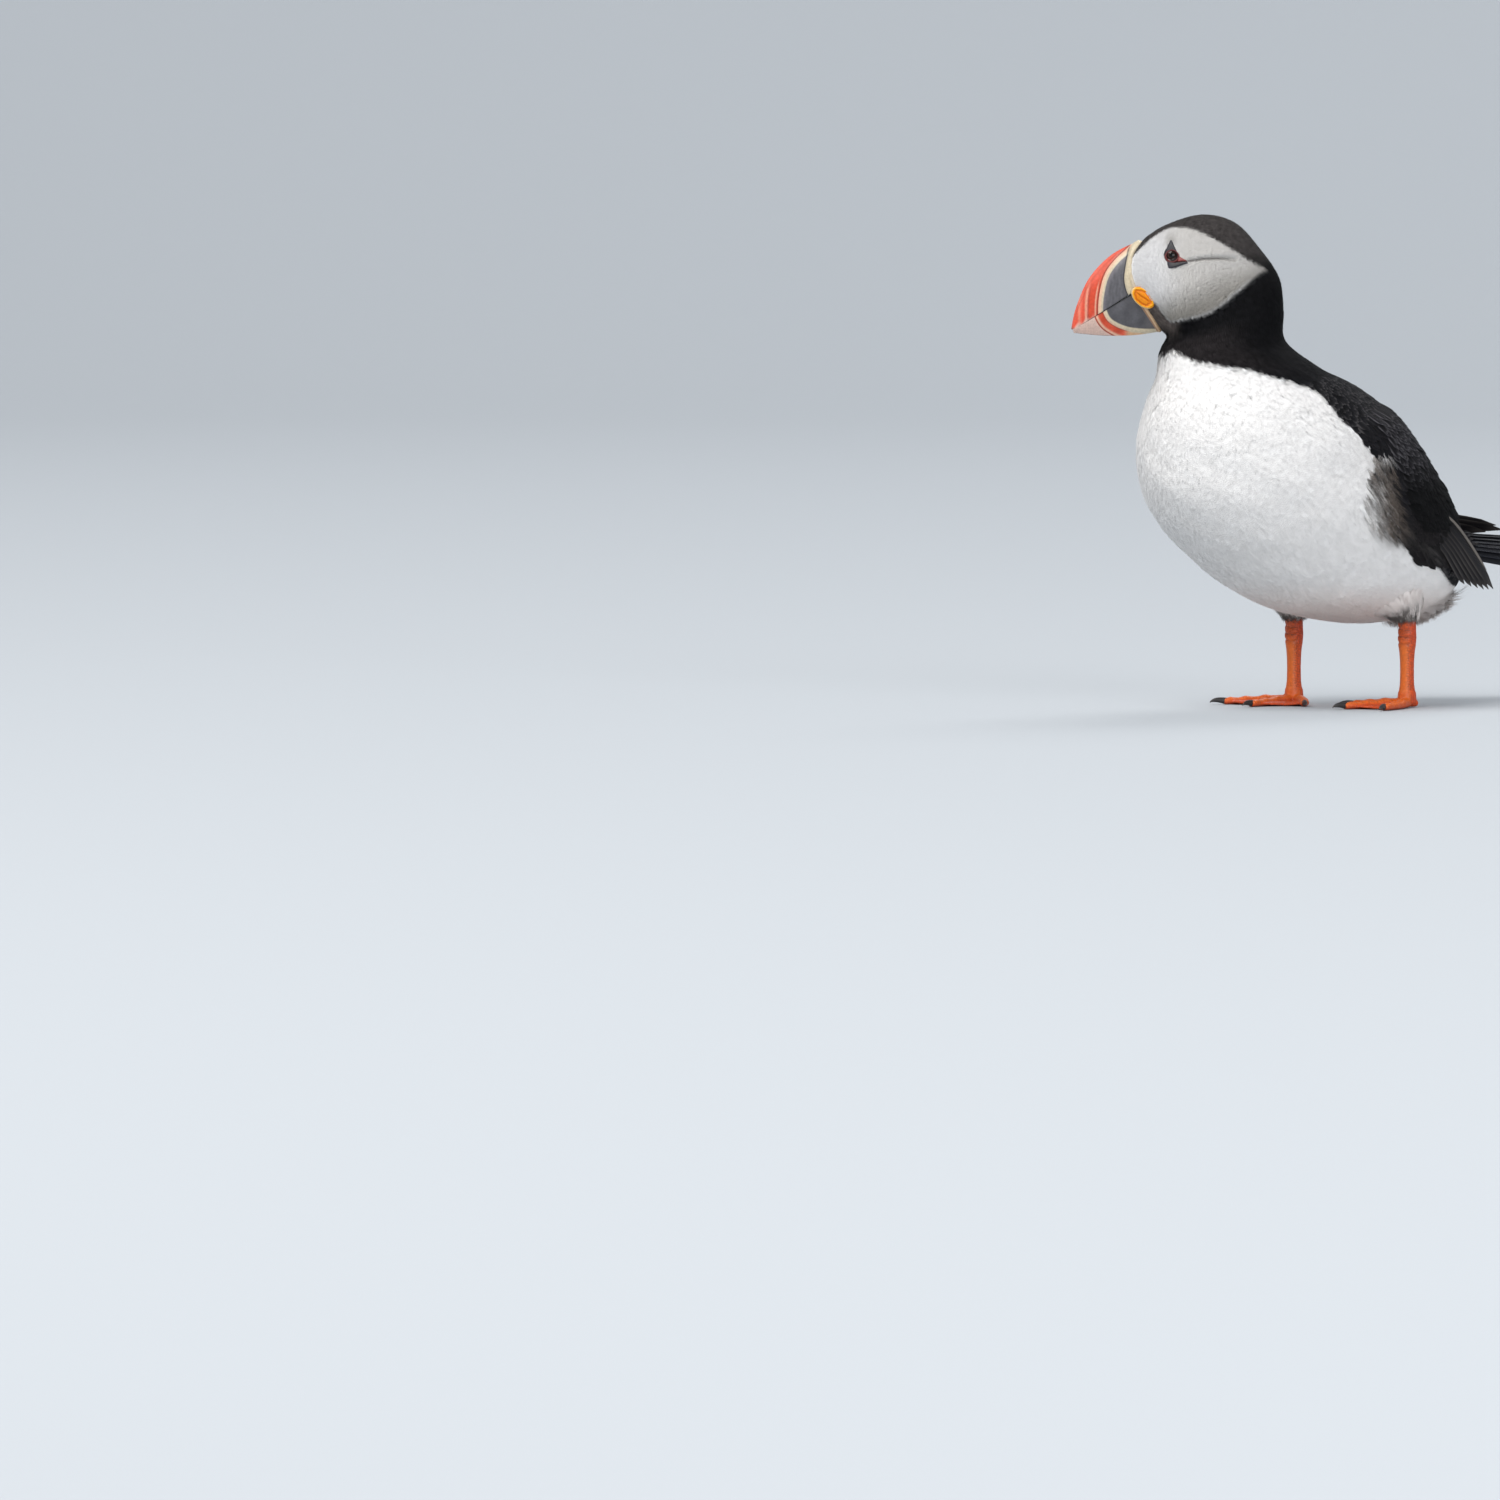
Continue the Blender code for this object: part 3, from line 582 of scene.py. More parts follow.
def cells(u, v):
    """Scales: how far a place lies inside its scale, 0 in the groove between scales, and a shade for each."""
    iu, iv = np.floor(u), np.floor(v)
    best = np.full(u.shape, 9.0)
    second = np.full(u.shape, 9.0)
    shade = np.zeros(u.shape)
    for du in (-1, 0, 1):
        for dv in (-1, 0, 1):
            cu, cv = iu + du, iv + dv
            seed = np.sin(cu * 127.1 + cv * 311.7) * 43758.5453
            r1 = seed - np.floor(seed)
            seed = np.sin(cu * 269.5 + cv * 183.3) * 43758.5453
            r2 = seed - np.floor(seed)
            d = np.hypot(cu + 0.25 + 0.5 * r1 - u, cv + 0.25 + 0.5 * r2 - v)
            nearer = d < best
            second = np.where(nearer, best, np.minimum(second, d))
            shade = np.where(nearer, r1, shade)
            best = np.where(nearer, d, best)
    return rise(0.0, 0.28, second - best), shade


def scale_leg(leg, side):
    """Presses the scales into a leg's skin and paints it, with painted shade in its grooves and next to the
    ground.
    """
    ankle = np.array(ANKLES[side])
    p = points_of(leg) / MM + MIDDLE
    normal = point_normals(leg.data)
    x, y, z = p.T
    around = np.arctan2(y - ankle[1], x - ankle[0])
    shank = rise(5.5, 8.0, z)
    small, small_shade = cells(around * 5.2, z / 1.15 + 0.35 * np.sin(3 * around))
    front = rise(0.35, 0.85, -np.sin(around)) * rise(31.5, 29.5, z)
    band = np.abs(((z / 1.7) % 1.0) - 0.5) * 2
    shield = rise(1.0, 0.82, band)
    scale_on_shank = small + (shield - small) * front
    best = np.full(len(p), 99.0)
    along_toe = np.zeros(len(p))
    for name in TOES[side]:
        spine, width, _, t = toe_spine(side, name, 50)
        length = TOES[side][name][1]
        d, share = beside(x, y, spine[:, :2])
        d = np.abs(d)
        at = np.interp(share, t, width)
        nearer = d / at < best
        along_toe = np.where(nearer, share * length, along_toe)
        best = np.where(nearer, d / at, best)
    on_toe = rise(1.15, 0.75, best) * rise(0.8, 1.6, z)
    toe_band = np.abs(((along_toe / 1.55) % 1.0) - 0.5) * 2
    toe_scale = rise(1.0, 0.80, toe_band)
    fine, fine_shade = cells(x / 0.95, y / 0.95)
    flat_scale = fine + (toe_scale - fine) * on_toe
    scale = flat_scale + (scale_on_shank - flat_scale) * shank
    wave = 0.5 * np.sin(2 * around)
    creases = sum(np.exp(-(((z - at - wave) / 0.6) ** 2)) for at in (29.0, 32.1, 35.4))
    creases = creases * rise(-0.2, 0.7, -np.sin(around))
    cut = (1 - scale) * (0.20 + 0.04 * shank) + 0.34 * creases * shank
    p = p - normal * cut[:, None] * rise(0.25, 1.0, z)[:, None]
    p[:, 2] = np.maximum(p[:, 2], 0.0)
    leg.data.vertices.foreach_set("co", ((p - MIDDLE) * MM).astype(np.float32).ravel())
    shade = fine_shade + (small_shade - fine_shade) * shank
    # Painted highlight: the front of the shank is lighter and yellower, as where the light falls on it.
    tint = mixed(LEG_ORANGE, LEG_YELLOW_AND_HIGHLIGHT, 0.55 * shank * rise(-0.1, 0.8, -np.sin(around)))
    tint = mixed(tint, LEG_RED, 0.6 * rise(25, 33, z) + 0.30 * (1 - on_toe) * (1 - shank))
    tint = mixed(tint, LEG_YELLOW_AND_HIGHLIGHT, 0.35 * on_toe * (1 - shank))
    tint = tint * (0.90 + 0.2 * shade)[:, None]
    # Painted shade in the grooves between the scales and in the creases of the shank.
    groove_shade = 0.62 * (1 - scale) * (0.75 + 0.25 * shank) + 0.26 * creases * shank
    tint = mixed(tint, LEG_SHADE, np.clip(groove_shade, 0, 0.85))
    # Painted shadow at the bottom, where the foot meets the ground.
    tint = mixed(tint, LEG_SHADE, 0.65 * rise(0.9, 0.1, z))
    paint(leg.data, tint)
    leg.data.update()


leg_finish, _, _ = new_material("scaly leg skin", 0.42, Specular_IOR_Level=0.45)
for side in ANKLES:
    leg = build_leg(side)
    scale_leg(leg, side)
    leg.data.materials.append(leg_finish)
    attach(leg, "root")
    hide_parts("shank_" + side, "foot_" + side)

# ---------------------------------------------------------------------------------------------------
# Body feathers. Each is a thin vane rooted in the skin and lying towards the tail over the ones behind it:
# very small on the face and head, soft and split at the tip on the white parts, firmer on the black back.
# ---------------------------------------------------------------------------------------------------


def split_vane(barbs, join, bends):
    """A soft feather's outline: a vane that parts into pointed barbs beyond join. Columns are t, w, barb."""
    points, faces = [], []
    starts = [0.0, join * 0.55, join]
    widths = [0.35, 0.9, 1.0]
    for t, w in zip(starts, widths):
        for k in range(barbs + 1):
            points.append((t, w * (2 * k / barbs - 1), 0))
    for r in range(2):
        for k in range(barbs):
            a = r * (barbs + 1) + k
            faces.append((a, a + 1, a + barbs + 2, a + barbs + 1))
    base = 2 * (barbs + 1)
    for k in range(barbs):
        centre = (2 * k + 1) / barbs - 1
        reach = 1.0 - 0.22 * centre**2
        left, right_side = base + k, base + k + 1
        for b in range(bends):
            t = join + (reach - join) * (b + 1) / (bends + 1)
            half = 0.62 * (1 - (b + 1) / (bends + 1.6)) / barbs
            lean = 0.06 * centre * (b + 1)
            points += [(t, centre + lean - half, k + 1), (t, centre + lean + half, k + 1)]
            faces.append((left, right_side, len(points) - 1, len(points) - 2))
            left, right_side = len(points) - 2, len(points) - 1
        points.append((reach, centre * 1.12, k + 1))
        faces.append((left, right_side, len(points) - 1, len(points) - 1))
    return np.array(points, float), faces


def whole_vane(rows, columns, outline_of):
    """A firm feather's outline: a vane with a rounded tip. Columns are t, w, barb."""
    t = np.linspace(0, 1, rows) ** 0.8
    w = np.linspace(-1, 1, columns)
    points = []
    for row in t:
        for column in w:
            points.append((row * (1 - 0.07 * column**2 * row), column * float(outline_of(row)), 0))
    faces = [tuple(f) for f in grid_faces(rows, columns)]
    return np.array(points, float), faces


def rounded(t):
    """A firm feather's width from its root to its tip."""
    return np.interp(t, [0, 0.2, 0.5, 0.75, 0.9, 0.97, 1], [0.3, 0.75, 1, 0.97, 0.74, 0.42, 0.08])


# The vanes that the coat is made of, from the finest to the firmest.
HEAD_VANE = split_vane(3, 0.42, 0)
SOFT_VANE = split_vane(5, 0.50, 1)
LOOSE_VANE = split_vane(4, 0.22, 2)
FIRM_VANE = whole_vane(7, 5, rounded)

# How far ahead, in sections and in radians, the next place lies by which a slope is measured.
AHEAD, ASIDE = 0.02, 0.01
# The places along a feather at which its path is worked out.
PLACES = 5


def spread_roots(rng, s_range, gap_at):
    """Feather roots in staggered rows round the body, an even distance apart."""
    s, found = s_range[0], []
    around = np.linspace(-math.pi, math.pi, 181)
    while s < s_range[1]:
        here, _ = outline(s, around)
        ahead, _ = outline(s + AHEAD, around)
        pace = np.linalg.norm(ahead - here, axis=1) / MM / AHEAD
        gap = gap_at(s)
        length = np.concatenate([[0], np.cumsum(np.linalg.norm(np.diff(here, axis=0), axis=1) / MM)])
        count = max(int(length[-1] / gap), 6)
        places = (np.arange(count) + rng.random() + rng.uniform(-0.38, 0.38, count)) % count
        angle = np.interp(places / count * length[-1], length, around)
        local = np.interp(angle, around, pace)
        chosen = rng.random(count) < local / pace.max() * 1.02
        step = gap * 0.86 / pace.max()
        found.append(np.stack([s + rng.uniform(-0.5, 0.5, count) * step, angle], 1)[chosen])
        s += step
    return np.concatenate(found)


def feather_path(s, angle, length, height, turn):
    """Places along each feather, from its root: points, outward direction and sideways direction. Also
    where on the body each of them lies."""
    rows, outs, places = [], [], []
    at, bearing = s.copy(), angle.copy()
    for k in range(PLACES):
        inside = np.minimum(at, VENT - 0.1)
        point, _ = outline(inside, bearing, height[:, k])
        out, lie = normals_at(inside, bearing)
        ahead, _ = outline(inside + AHEAD, bearing)
        plain, _ = outline(inside, bearing)
        pace = np.linalg.norm(ahead - plain, axis=1) / MM / AHEAD
        side_step, _ = outline(inside, bearing + ASIDE)
        round_pace = np.linalg.norm(side_step - plain, axis=1) / MM / ASIDE
        past = (at - inside) * pace * MM
        rows.append(point + lie * past[:, None])
        outs.append(out)
        places.append(np.stack([inside, bearing], 1))
        at = at + length * np.cos(turn) / (PLACES - 1) / np.maximum(pace, 1.2)
        bearing = bearing + length * np.sin(turn) / (PLACES - 1) / np.maximum(round_pace, 2.0)
    rows, outs = np.stack(rows, 1), np.stack(outs, 1)
    way = unit(np.gradient(rows, axis=1))
    return (rows, outs, unit(np.cross(way, outs))), places


def feather_mesh(name, vane, path, half_width, arch, tints, roots, seed, ragged=0.05, twist=0.1, edge=None,
                 even=0.6, dim=0.2, lean=0.0):
    """One joined mesh of vanes. path is points, outward and sideways directions at even steps along each.
    even is how far the vanes catch the light as one smooth coat, lean how far one edge lies over the next."""
    rng = np.random.default_rng(seed)
    shape, quads = vane
    rows, outs, sides = path
    count, steps = rows.shape[:2]
    t, w = shape[:, 0], shape[:, 1]
    barbs = int(shape[:, 2].max()) + 1
    ragged = np.reshape(ragged, (-1, 1))
    stretch = 1 + (ragged * rng.uniform(-1, 1, (count, barbs)))[:, shape[:, 2].astype(int)]
    place = np.clip(t * np.where(t > 0.3, stretch, 1), 0, 1.0) * (steps - 1)
    lower = np.minimum(place.astype(int), steps - 2)
    part = (place - lower)[..., None]
    index = np.arange(count)[:, None]
    centre = rows[index, lower] * (1 - part) + rows[index, lower + 1] * part
    out = outs[index, lower] * (1 - part) + outs[index, lower + 1] * part
    side = sides[index, lower] * (1 - part) + sides[index, lower + 1] * part
    half = (half_width * MM)[:, None]
    roll = rng.normal(0, twist, count)[:, None] * t + np.ravel(lean)[:, None]
    sway = rng.normal(0, 0.25, (count, barbs))[:, shape[:, 2].astype(int)] * np.maximum(t - 0.4, 0)
    sway = sway * np.minimum(1, 10 * ragged)
    offset = (w + sway) * half
    bow = -arch * w**2 * half + roll * offset
    points = centre + side * offset[..., None] + out * bow[..., None]
    quads = np.array(quads)
    total = len(shape)
    faces = (quads[None] + (index * total)[:, :, None]).reshape(-1, 4)
    pointed = faces[:, 2] == faces[:, 3]
    # Each vane has a small patch of its own on the map for baking, laid out as the roots are.
    low, high = roots.min(0), roots.max(0)
    place_uv = (roots - low) / np.maximum(high - low, 1e-6) * 0.994 + 0.003
    patch = np.stack([w * 0.0014, (t - 0.5) * 0.0028], 1)
    bake = (place_uv[:, None] + patch[None]).reshape(-1, 2)
    vane_uv = np.stack([w * 0.5 + 0.5, t], 1)
    vane_uv = np.tile(vane_uv, (count, 1))
    if tints.ndim == 3:
        shade = tints[index, lower] * (1 - part) + tints[index, lower + 1] * part
    else:
        shade = np.repeat(tints[:, None], total, 1)
    if edge is not None:
        rim, share = edge
        amount = np.clip(np.maximum((np.abs(w) - 0.55) / 0.45, (t - 0.84) / 0.16), 0, 1)
        shade = shade + (rim - shade) * (np.reshape(share, (-1, 1)) * amount)[..., None]
    shade = shade * (1 - np.reshape(dim, (-1, 1)) * (1 - t))[..., None]
    made = mixed_mesh(name, points.reshape(-1, 3), faces, pointed, shade.reshape(-1, 3), bake, vane_uv)
    own = point_normals(made.data)
    out = out.reshape(-1, 3)
    own = own * np.sign((own * out).sum(1, keepdims=True) + 1e-9)
    level = np.repeat(np.broadcast_to(even, count), total)[:, None]
    made.data.normals_split_custom_set_from_vertices(unit(own + (out - own) * level))
    return made


def mixed_mesh(name, points, faces, pointed, tints, bake, vane_uv):
    """A mesh whose faces have four corners, or three where pointed."""
    order = np.concatenate([faces[~pointed].ravel(), faces[pointed][:, :3].ravel()]).astype(np.int32)
    fours, threes = int((~pointed).sum()), int(pointed.sum())
    starts = np.concatenate([np.arange(fours) * 4, fours * 4 + np.arange(threes) * 3]).astype(np.int32)
    mesh = bpy.data.meshes.new(name)
    mesh.vertices.add(len(points))
    mesh.vertices.foreach_set("co", points.astype(np.float32).ravel())
    mesh.loops.add(len(order))
    mesh.loops.foreach_set("vertex_index", order)
    mesh.polygons.add(len(starts))
    mesh.polygons.foreach_set("loop_start", starts)
    mesh.update(calc_edges=True)
    mesh.polygons.foreach_set("use_smooth", np.ones(len(starts), bool))
    paint(mesh, np.clip(tints, 0, 1))
    for map_name, uv in (("OFBake", bake), ("vane", vane_uv)):
        uv_layer = mesh.uv_layers.new(name=map_name)
        uv_layer.data.foreach_set("uv", uv[order].astype(np.float32).ravel())
    made = bpy.data.objects.new(name, mesh)
    scene.collection.objects.link(made)
    return made


def lay_feathers(name, vane, s_range, gap_at, length_at, wide, wanted, seed, loose=1.0, arch=0.15, edge=None,
                 lift=0.0, speckle=0.05, even=0.6, droop=0.0, tint=None, dim=0.2, fine=False):
    """Feathers of one kind over the part of the body where wanted, as one mesh. lift, speckle, even, dim,
    loose and the edge's share are plain numbers, or change with the section and the degrees. fine lets the
    colour change along each feather."""
    rng = np.random.default_rng(seed)
    roots = spread_roots(rng, s_range, gap_at)
    s, angle = roots.T
    _, marks = outline(s, angle)
    chosen = wanted(s, angle, marks)
    roots = roots[chosen]
    s, angle = roots.T
    marks = marks[chosen]
    length = length_at(s, angle) * rng.normal(1, 0.10, len(s))
    t = np.linspace(0, 1, PLACES)
    deep = feather_depth(s, angle)
    deg = np.degrees(np.abs(angle))
    levels = (lift, speckle, even, dim, loose)
    lift, speckle, even, dim, loose = [v(s, deg) if callable(v) else v for v in levels]
    if edge is not None and callable(edge[1]):
        edge = (edge[0], edge[1](s, deg))
    raised = np.reshape(lift, (-1, 1))
    at_root = 0.4 * np.minimum(1, 2 / np.maximum(raised, 2))
    height = raised * (at_root + (1 - at_root) * t) - deep[:, None] * (1 - t) ** 2.1
    height = height + (rng.normal(0, 0.10, len(s)) * loose)[:, None] * t
    turn = rng.normal(0, 0.10, len(s)) * loose + droop * np.sign(angle)
    path, places = feather_path(s, angle, length, height, turn)
    used = places if fine else places[3:4]
    tints = np.stack([plumage_colour(p[:, 0], p[:, 1], outline(p[:, 0], p[:, 1])[1]) for p in used], 1)
    tints = tints if fine else tints[:, 0]
    if tint is not None:
        tints = tint(s, angle, tints, rng)
    tints = tints * (1 + speckle * rng.normal(0, 1, len(s))).reshape(-1, *[1] * (tints.ndim - 1))
    half = wide * length_at(s, angle) * rng.normal(1, 0.08, len(s))
    made = feather_mesh(name, vane, path, half, arch, tints, roots, seed + 1, ragged=0.10 * loose,
                        twist=0.12 * loose, edge=edge, even=even, dim=dim)
    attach(made, "root")
    return made


def darkness(s, angle, marks):
    """0 on the white and grey plumage, 1 on the black."""
    return rise(0.25, 0.05, plumage_colour(s, angle, marks).mean(-1))


def bare(marks):
    """Where no feather grows: the eye with its plates."""
    forward, up = marks[:, 0], marks[:, 2]
    return np.hypot(forward - EYE_AT[0], up - EYE_AT[1]) < 2.8


def barb_relief():
    """The fine barbs of a vane, from its own map: a height and a shade."""
    group = bpy.data.node_groups.new("feather barbs", "ShaderNodeTree")
    face = group.interface
    for socket, kind, level in (("Vane", "NodeSocketVector", None), ("Barbs", "NodeSocketFloat", 30.0),
                                ("Slant", "NodeSocketFloat", 6.0), ("Unevenness", "NodeSocketFloat", 0.4)):
        made = face.new_socket(socket, in_out="INPUT", socket_type=kind)
        if level is not None:
            made.default_value = level
    face.new_socket("Height", in_out="OUTPUT", socket_type="NodeSocketFloat")
    face.new_socket("Shade", in_out="OUTPUT", socket_type="NodeSocketFloat")
    nodes, links = group.nodes, group.links
    given, result = nodes.new("NodeGroupInput"), nodes.new("NodeGroupOutput")
    split = nodes.new("ShaderNodeSeparateXYZ")
    links.new(given.outputs["Vane"], split.inputs[0])

    def maths(operation, first, second, third=None):
        node = nodes.new("ShaderNodeMath")
        node.operation = operation
        for socket, value in zip(node.inputs, (first, second, third)):
            if value is None:
                continue
            if isinstance(value, (int, float)):
                socket.default_value = value
            else:
                links.new(value, socket)
        return node.outputs[0]

    across = maths("ABSOLUTE", maths("SUBTRACT", split.outputs["X"], 0.5), 0.0)
    slanted = maths("MULTIPLY", across, given.outputs["Slant"])
    rows = maths("SUBTRACT", maths("MULTIPLY", split.outputs["Y"], given.outputs["Barbs"]), slanted)
    noise = nodes.new("ShaderNodeTexNoise")
    noise.inputs["Scale"].default_value = 5.0
    noise.inputs["Detail"].default_value = 2.0
    links.new(given.outputs["Vane"], noise.inputs["Vector"])
    wander = maths("MULTIPLY", noise.outputs["Fac"], given.outputs["Unevenness"])
    wave = maths("SINE", maths("MULTIPLY", maths("ADD", rows, wander), math.tau), 0.0)
    height = maths("MULTIPLY_ADD", wave, 0.5, 0.5)
    shaft = maths("MULTIPLY", maths("SUBTRACT", 0.035, across), 30.0)
    shaft = maths("MAXIMUM", shaft, 0.0)
    links.new(maths("ADD", height, shaft), result.inputs["Height"])
    shade = maths("MULTIPLY_ADD", height, 0.22, 0.89)
    links.new(shade, result.inputs["Shade"])
    return group


barbs = barb_relief()


def shade_and_raise(made, shader, pigment, shade, height, bump):
    """Darkens a material's pigment by a shade and raises its surface by a height."""
    nodes, links = made.node_tree.nodes, made.node_tree.links
    tone = nodes.new("ShaderNodeMix")
    tone.data_type = "RGBA"
    tone.blend_type = "MULTIPLY"
    tone.inputs["Factor"].default_value = 1.0
    grey = nodes.new("ShaderNodeCombineColor")
    for socket in grey.inputs[:3]:
        links.new(shade, socket)
    links.new(pigment.outputs["Color"], tone.inputs["A"])
    links.new(grey.outputs["Color"], tone.inputs["B"])
    links.new(tone.outputs["Result"], shader.inputs["Base Color"])
    raised = nodes.new("ShaderNodeBump")
    raised.inputs["Strength"].default_value = bump
    raised.inputs["Distance"].default_value = 0.2 * MM
    links.new(height, raised.inputs["Height"])
    links.new(raised.outputs["Normal"], shader.inputs["Normal"])


def feather_finish(name, roughness, count, bump, **levels):
    """A plumage material: the painted pigment, shaded and raised by its barbs."""
    made, shader, pigment = new_material(name, roughness, **levels)
    nodes = made.node_tree.nodes
    vane = nodes.new("ShaderNodeUVMap")
    vane.uv_map = "vane"
    rows = nodes.new("ShaderNodeGroup")
    rows.node_tree = barbs
    rows.inputs["Barbs"].default_value = count
    made.node_tree.links.new(vane.outputs["UV"], rows.inputs["Vane"])
    shade_and_raise(made, shader, pigment, rows.outputs["Shade"], rows.outputs["Height"], bump)
    return made


soft_white = feather_finish("soft white feathers", 0.75, 9.0, 0.25, Specular_IOR_Level=0.25,
                            Sheen_Weight=0.25)
firm_black = feather_finish("black feathers", 0.68, 26.0, 0.5, Specular_IOR_Level=0.08)
fine_face = feather_finish("fine face feathers", 0.7, 5.0, 0.15, Specular_IOR_Level=0.25, Sheen_Weight=0.2)


def finished(made, finish):
    """A piece with its material."""
    made.data.materials.append(finish)
    return made


def by_section(at, levels):
    """A size or a level that changes along the body, from what it is at a few sections."""
    return lambda s, *_: np.interp(s, at, levels)


def on_face(s, angle, marks):
    """The grey of the face, short of the eye."""
    within = in_face(marks[:, 0], marks[:, 2]) > -0.3
    return within & (np.abs(np.sin(angle)) > 0.28) & (s < 6.1) & ~bare(marks)


def on_head(s, angle, marks):
    """All of the head but the face and the eye."""
    return ~on_face(s, angle, marks) & ~bare(marks)


face_gap = by_section([0, 3, 6], [0.74, 0.80, 0.90])
face_length = by_section([0, 1, 6], [1.6, 2.0, 2.2])
head_gap = by_section([0, 3, 6, 7.2], [0.80, 0.95, 1.15, 1.35])
head_length = by_section([0, 0.5, 2, 4, 6, 7.2], [1.7, 2.2, 3.0, 3.8, 4.8, 6.0])
finished(lay_feathers("face_feathers", HEAD_VANE, (0.08, 6.0), face_gap, face_length, 0.36, on_face, 11,
                      loose=0.5, speckle=0.02, even=0.85, fine=True, dim=0.1), fine_face)
finished(lay_feathers("head_feathers", HEAD_VANE, (0.10, 6.6), head_gap, head_length, 0.30, on_head, 12,
                      loose=0.7, speckle=0.20, even=0.7, fine=True), firm_black)


def on_throat_black(s, angle, marks):
    """The collar's black, in front and at the sides."""
    deg = np.degrees(np.abs(angle))
    return (darkness(s, angle, marks) > 0.5) & ((deg > 60) | (s < 9))


def on_white(s, angle, marks):
    """The white, up to where a feather's tip would lie on the black or on a wing."""
    _, ahead = outline(s + 0.6, angle)
    clear = (darkness(s, angle, marks) <= 0.5) & (darkness(s + 0.6, angle, ahead) <= 0.5)
    return clear & (on_wing(np.minimum(s + 0.5, 15.5), angle) < 0.05)


body_gap = by_section([6.2, 8, 10, 19], [1.3, 1.6, 1.8, 1.9])
soft_length = by_section([6.2, 8, 10, 14, 19], [5.0, 6.8, 8.2, 9.5, 9.0])
finished(lay_feathers("collar_feathers", SOFT_VANE, (6.4, 9.6), body_gap, soft_length, 0.17, on_throat_black,
                      13, loose=0.6, speckle=0.25, even=0.6), firm_black)

# The sections over which the smooth breast turns into the looser belly.
LOOSENING = [8.5, 11.0, 12.5, 14.5]
for name, s_range, seed in (
    ("breast_feathers", (6.4, 11.2), 14),
    ("belly_feathers", (11.2, 14.2), 15),
    ("rear_belly_feathers", (14.2, 18.9), 17),
):
    finished(lay_feathers(name, SOFT_VANE, s_range, body_gap, soft_length, 0.17, on_white, seed,
                          loose=by_section(LOOSENING, [0.22, 0.28, 0.6, 0.9]), arch=0.12,
                          speckle=by_section(LOOSENING, [0.006, 0.015, 0.035, 0.03]),
                          even=by_section(LOOSENING, [0.88, 0.86, 0.66, 0.68]),
                          dim=by_section(LOOSENING, [0.05, 0.10, 0.22, 0.2])), soft_white)


def on_back(s, angle, marks):
    """The black of the back and nape, up to where a feather's tip would lie on the white."""
    _, ahead = outline(s + 0.5, angle)
    clear = (darkness(s, angle, marks) > 0.5) & (darkness(s + 0.5, angle, ahead) > 0.5)
    return clear & (np.degrees(np.abs(angle)) < 92)


def black_tint(s, angle, tints, rng):
    """Black to the very edge, where a feather's tip lies over the white."""
    return np.minimum(tints, BLACK * 1.1)


EDGE_GREY = colour(98, 95, 96)
back_gap = by_section([8, 10, 13, 17], [2.2, 2.8, 3.2, 2.8])
back_length = by_section([8, 10, 13, 17, 19], [8.0, 10.5, 12.5, 11.5, 10.0])
finished(lay_feathers("back_feathers", FIRM_VANE, (8.2, 17.8), back_gap, back_length, 0.25, on_back, 16,
                      loose=0.8, arch=0.22, edge=(EDGE_GREY, 0.7), speckle=0.25, even=0.4,
                      tint=black_tint), firm_black)

# ---------------------------------------------------------------------------------------------------
# Bill. Two halves of horn, flattened from side to side: a slate-grey plate at the base behind a cream ridge,
# then red-orange with grooves. A cream band of bare skin, the cere, seals the upper half to the face.
# ---------------------------------------------------------------------------------------------------

# The bill seen from the side, forward and up: the ridge of each half, the mouth line's two ends, and the
# borders of the cere, of the pale ridge in front of the upper plate, and of the lower plate.
CULMEN = np.array([(36.9, 209.7), (50.0, 203.2), (60.3, 192.7), (66.3, 179.5), (68.6, 169.4)])
KEEL = np.array([(28.2, 168.6), (40.0, 167.0), (54.0, 166.8), (67.6, 168.0)])
GAPE_CORNER, GAPE_TIP = np.array([37.5, 181.3]), np.array([68.2, 169.0])
TIP_HALF = 1.9  # half of the tip's thickness
CERE_FRONT = curve_through(
    [(37.5, 213.0), (40.4, 209.2), (42.3, 205.6), (43.6, 201.5), (44.6, 196.0), (44.9, 192.4), (44.3, 188.6),
     (43.1, 185.3), (41.0, 182.4), (38.0, 180.4), (34.0, 179.0)], 61)
PALE_RIDGE = curve_through(
    [(37.0, 212.0), (40.7, 208.8), (44.5, 205.2), (48.5, 201.6), (52.3, 196.9), (54.6, 192.0), (56.0, 186.0),
     (56.6, 180.5), (56.6, 174.0)], 61)
LOWER_PLATE = curve_through(
    [(24.0, 170.2), (29.5, 169.9), (36.6, 169.9), (43.0, 170.7), (48.2, 172.7), (51.6, 175.5),
     (54.0, 181.5)], 61)
CREAM, PEACH, SLATE = colour(202, 188, 160), colour(222, 180, 152), colour(96, 95, 99)
SLATE_DARK, BILL_RED, BILL_ORANGE = colour(62, 60, 64), colour(210, 76, 52), colour(190, 62, 28)
GROOVE_RED, WORN_PINK, TIP_DARK = colour(150, 52, 34), colour(212, 182, 168), colour(112, 66, 56)


def ridge(x, centre, width):
    """1 at the centre, falling smoothly to 0 over the width."""
    return np.exp(-(((x - centre) / width) ** 2))


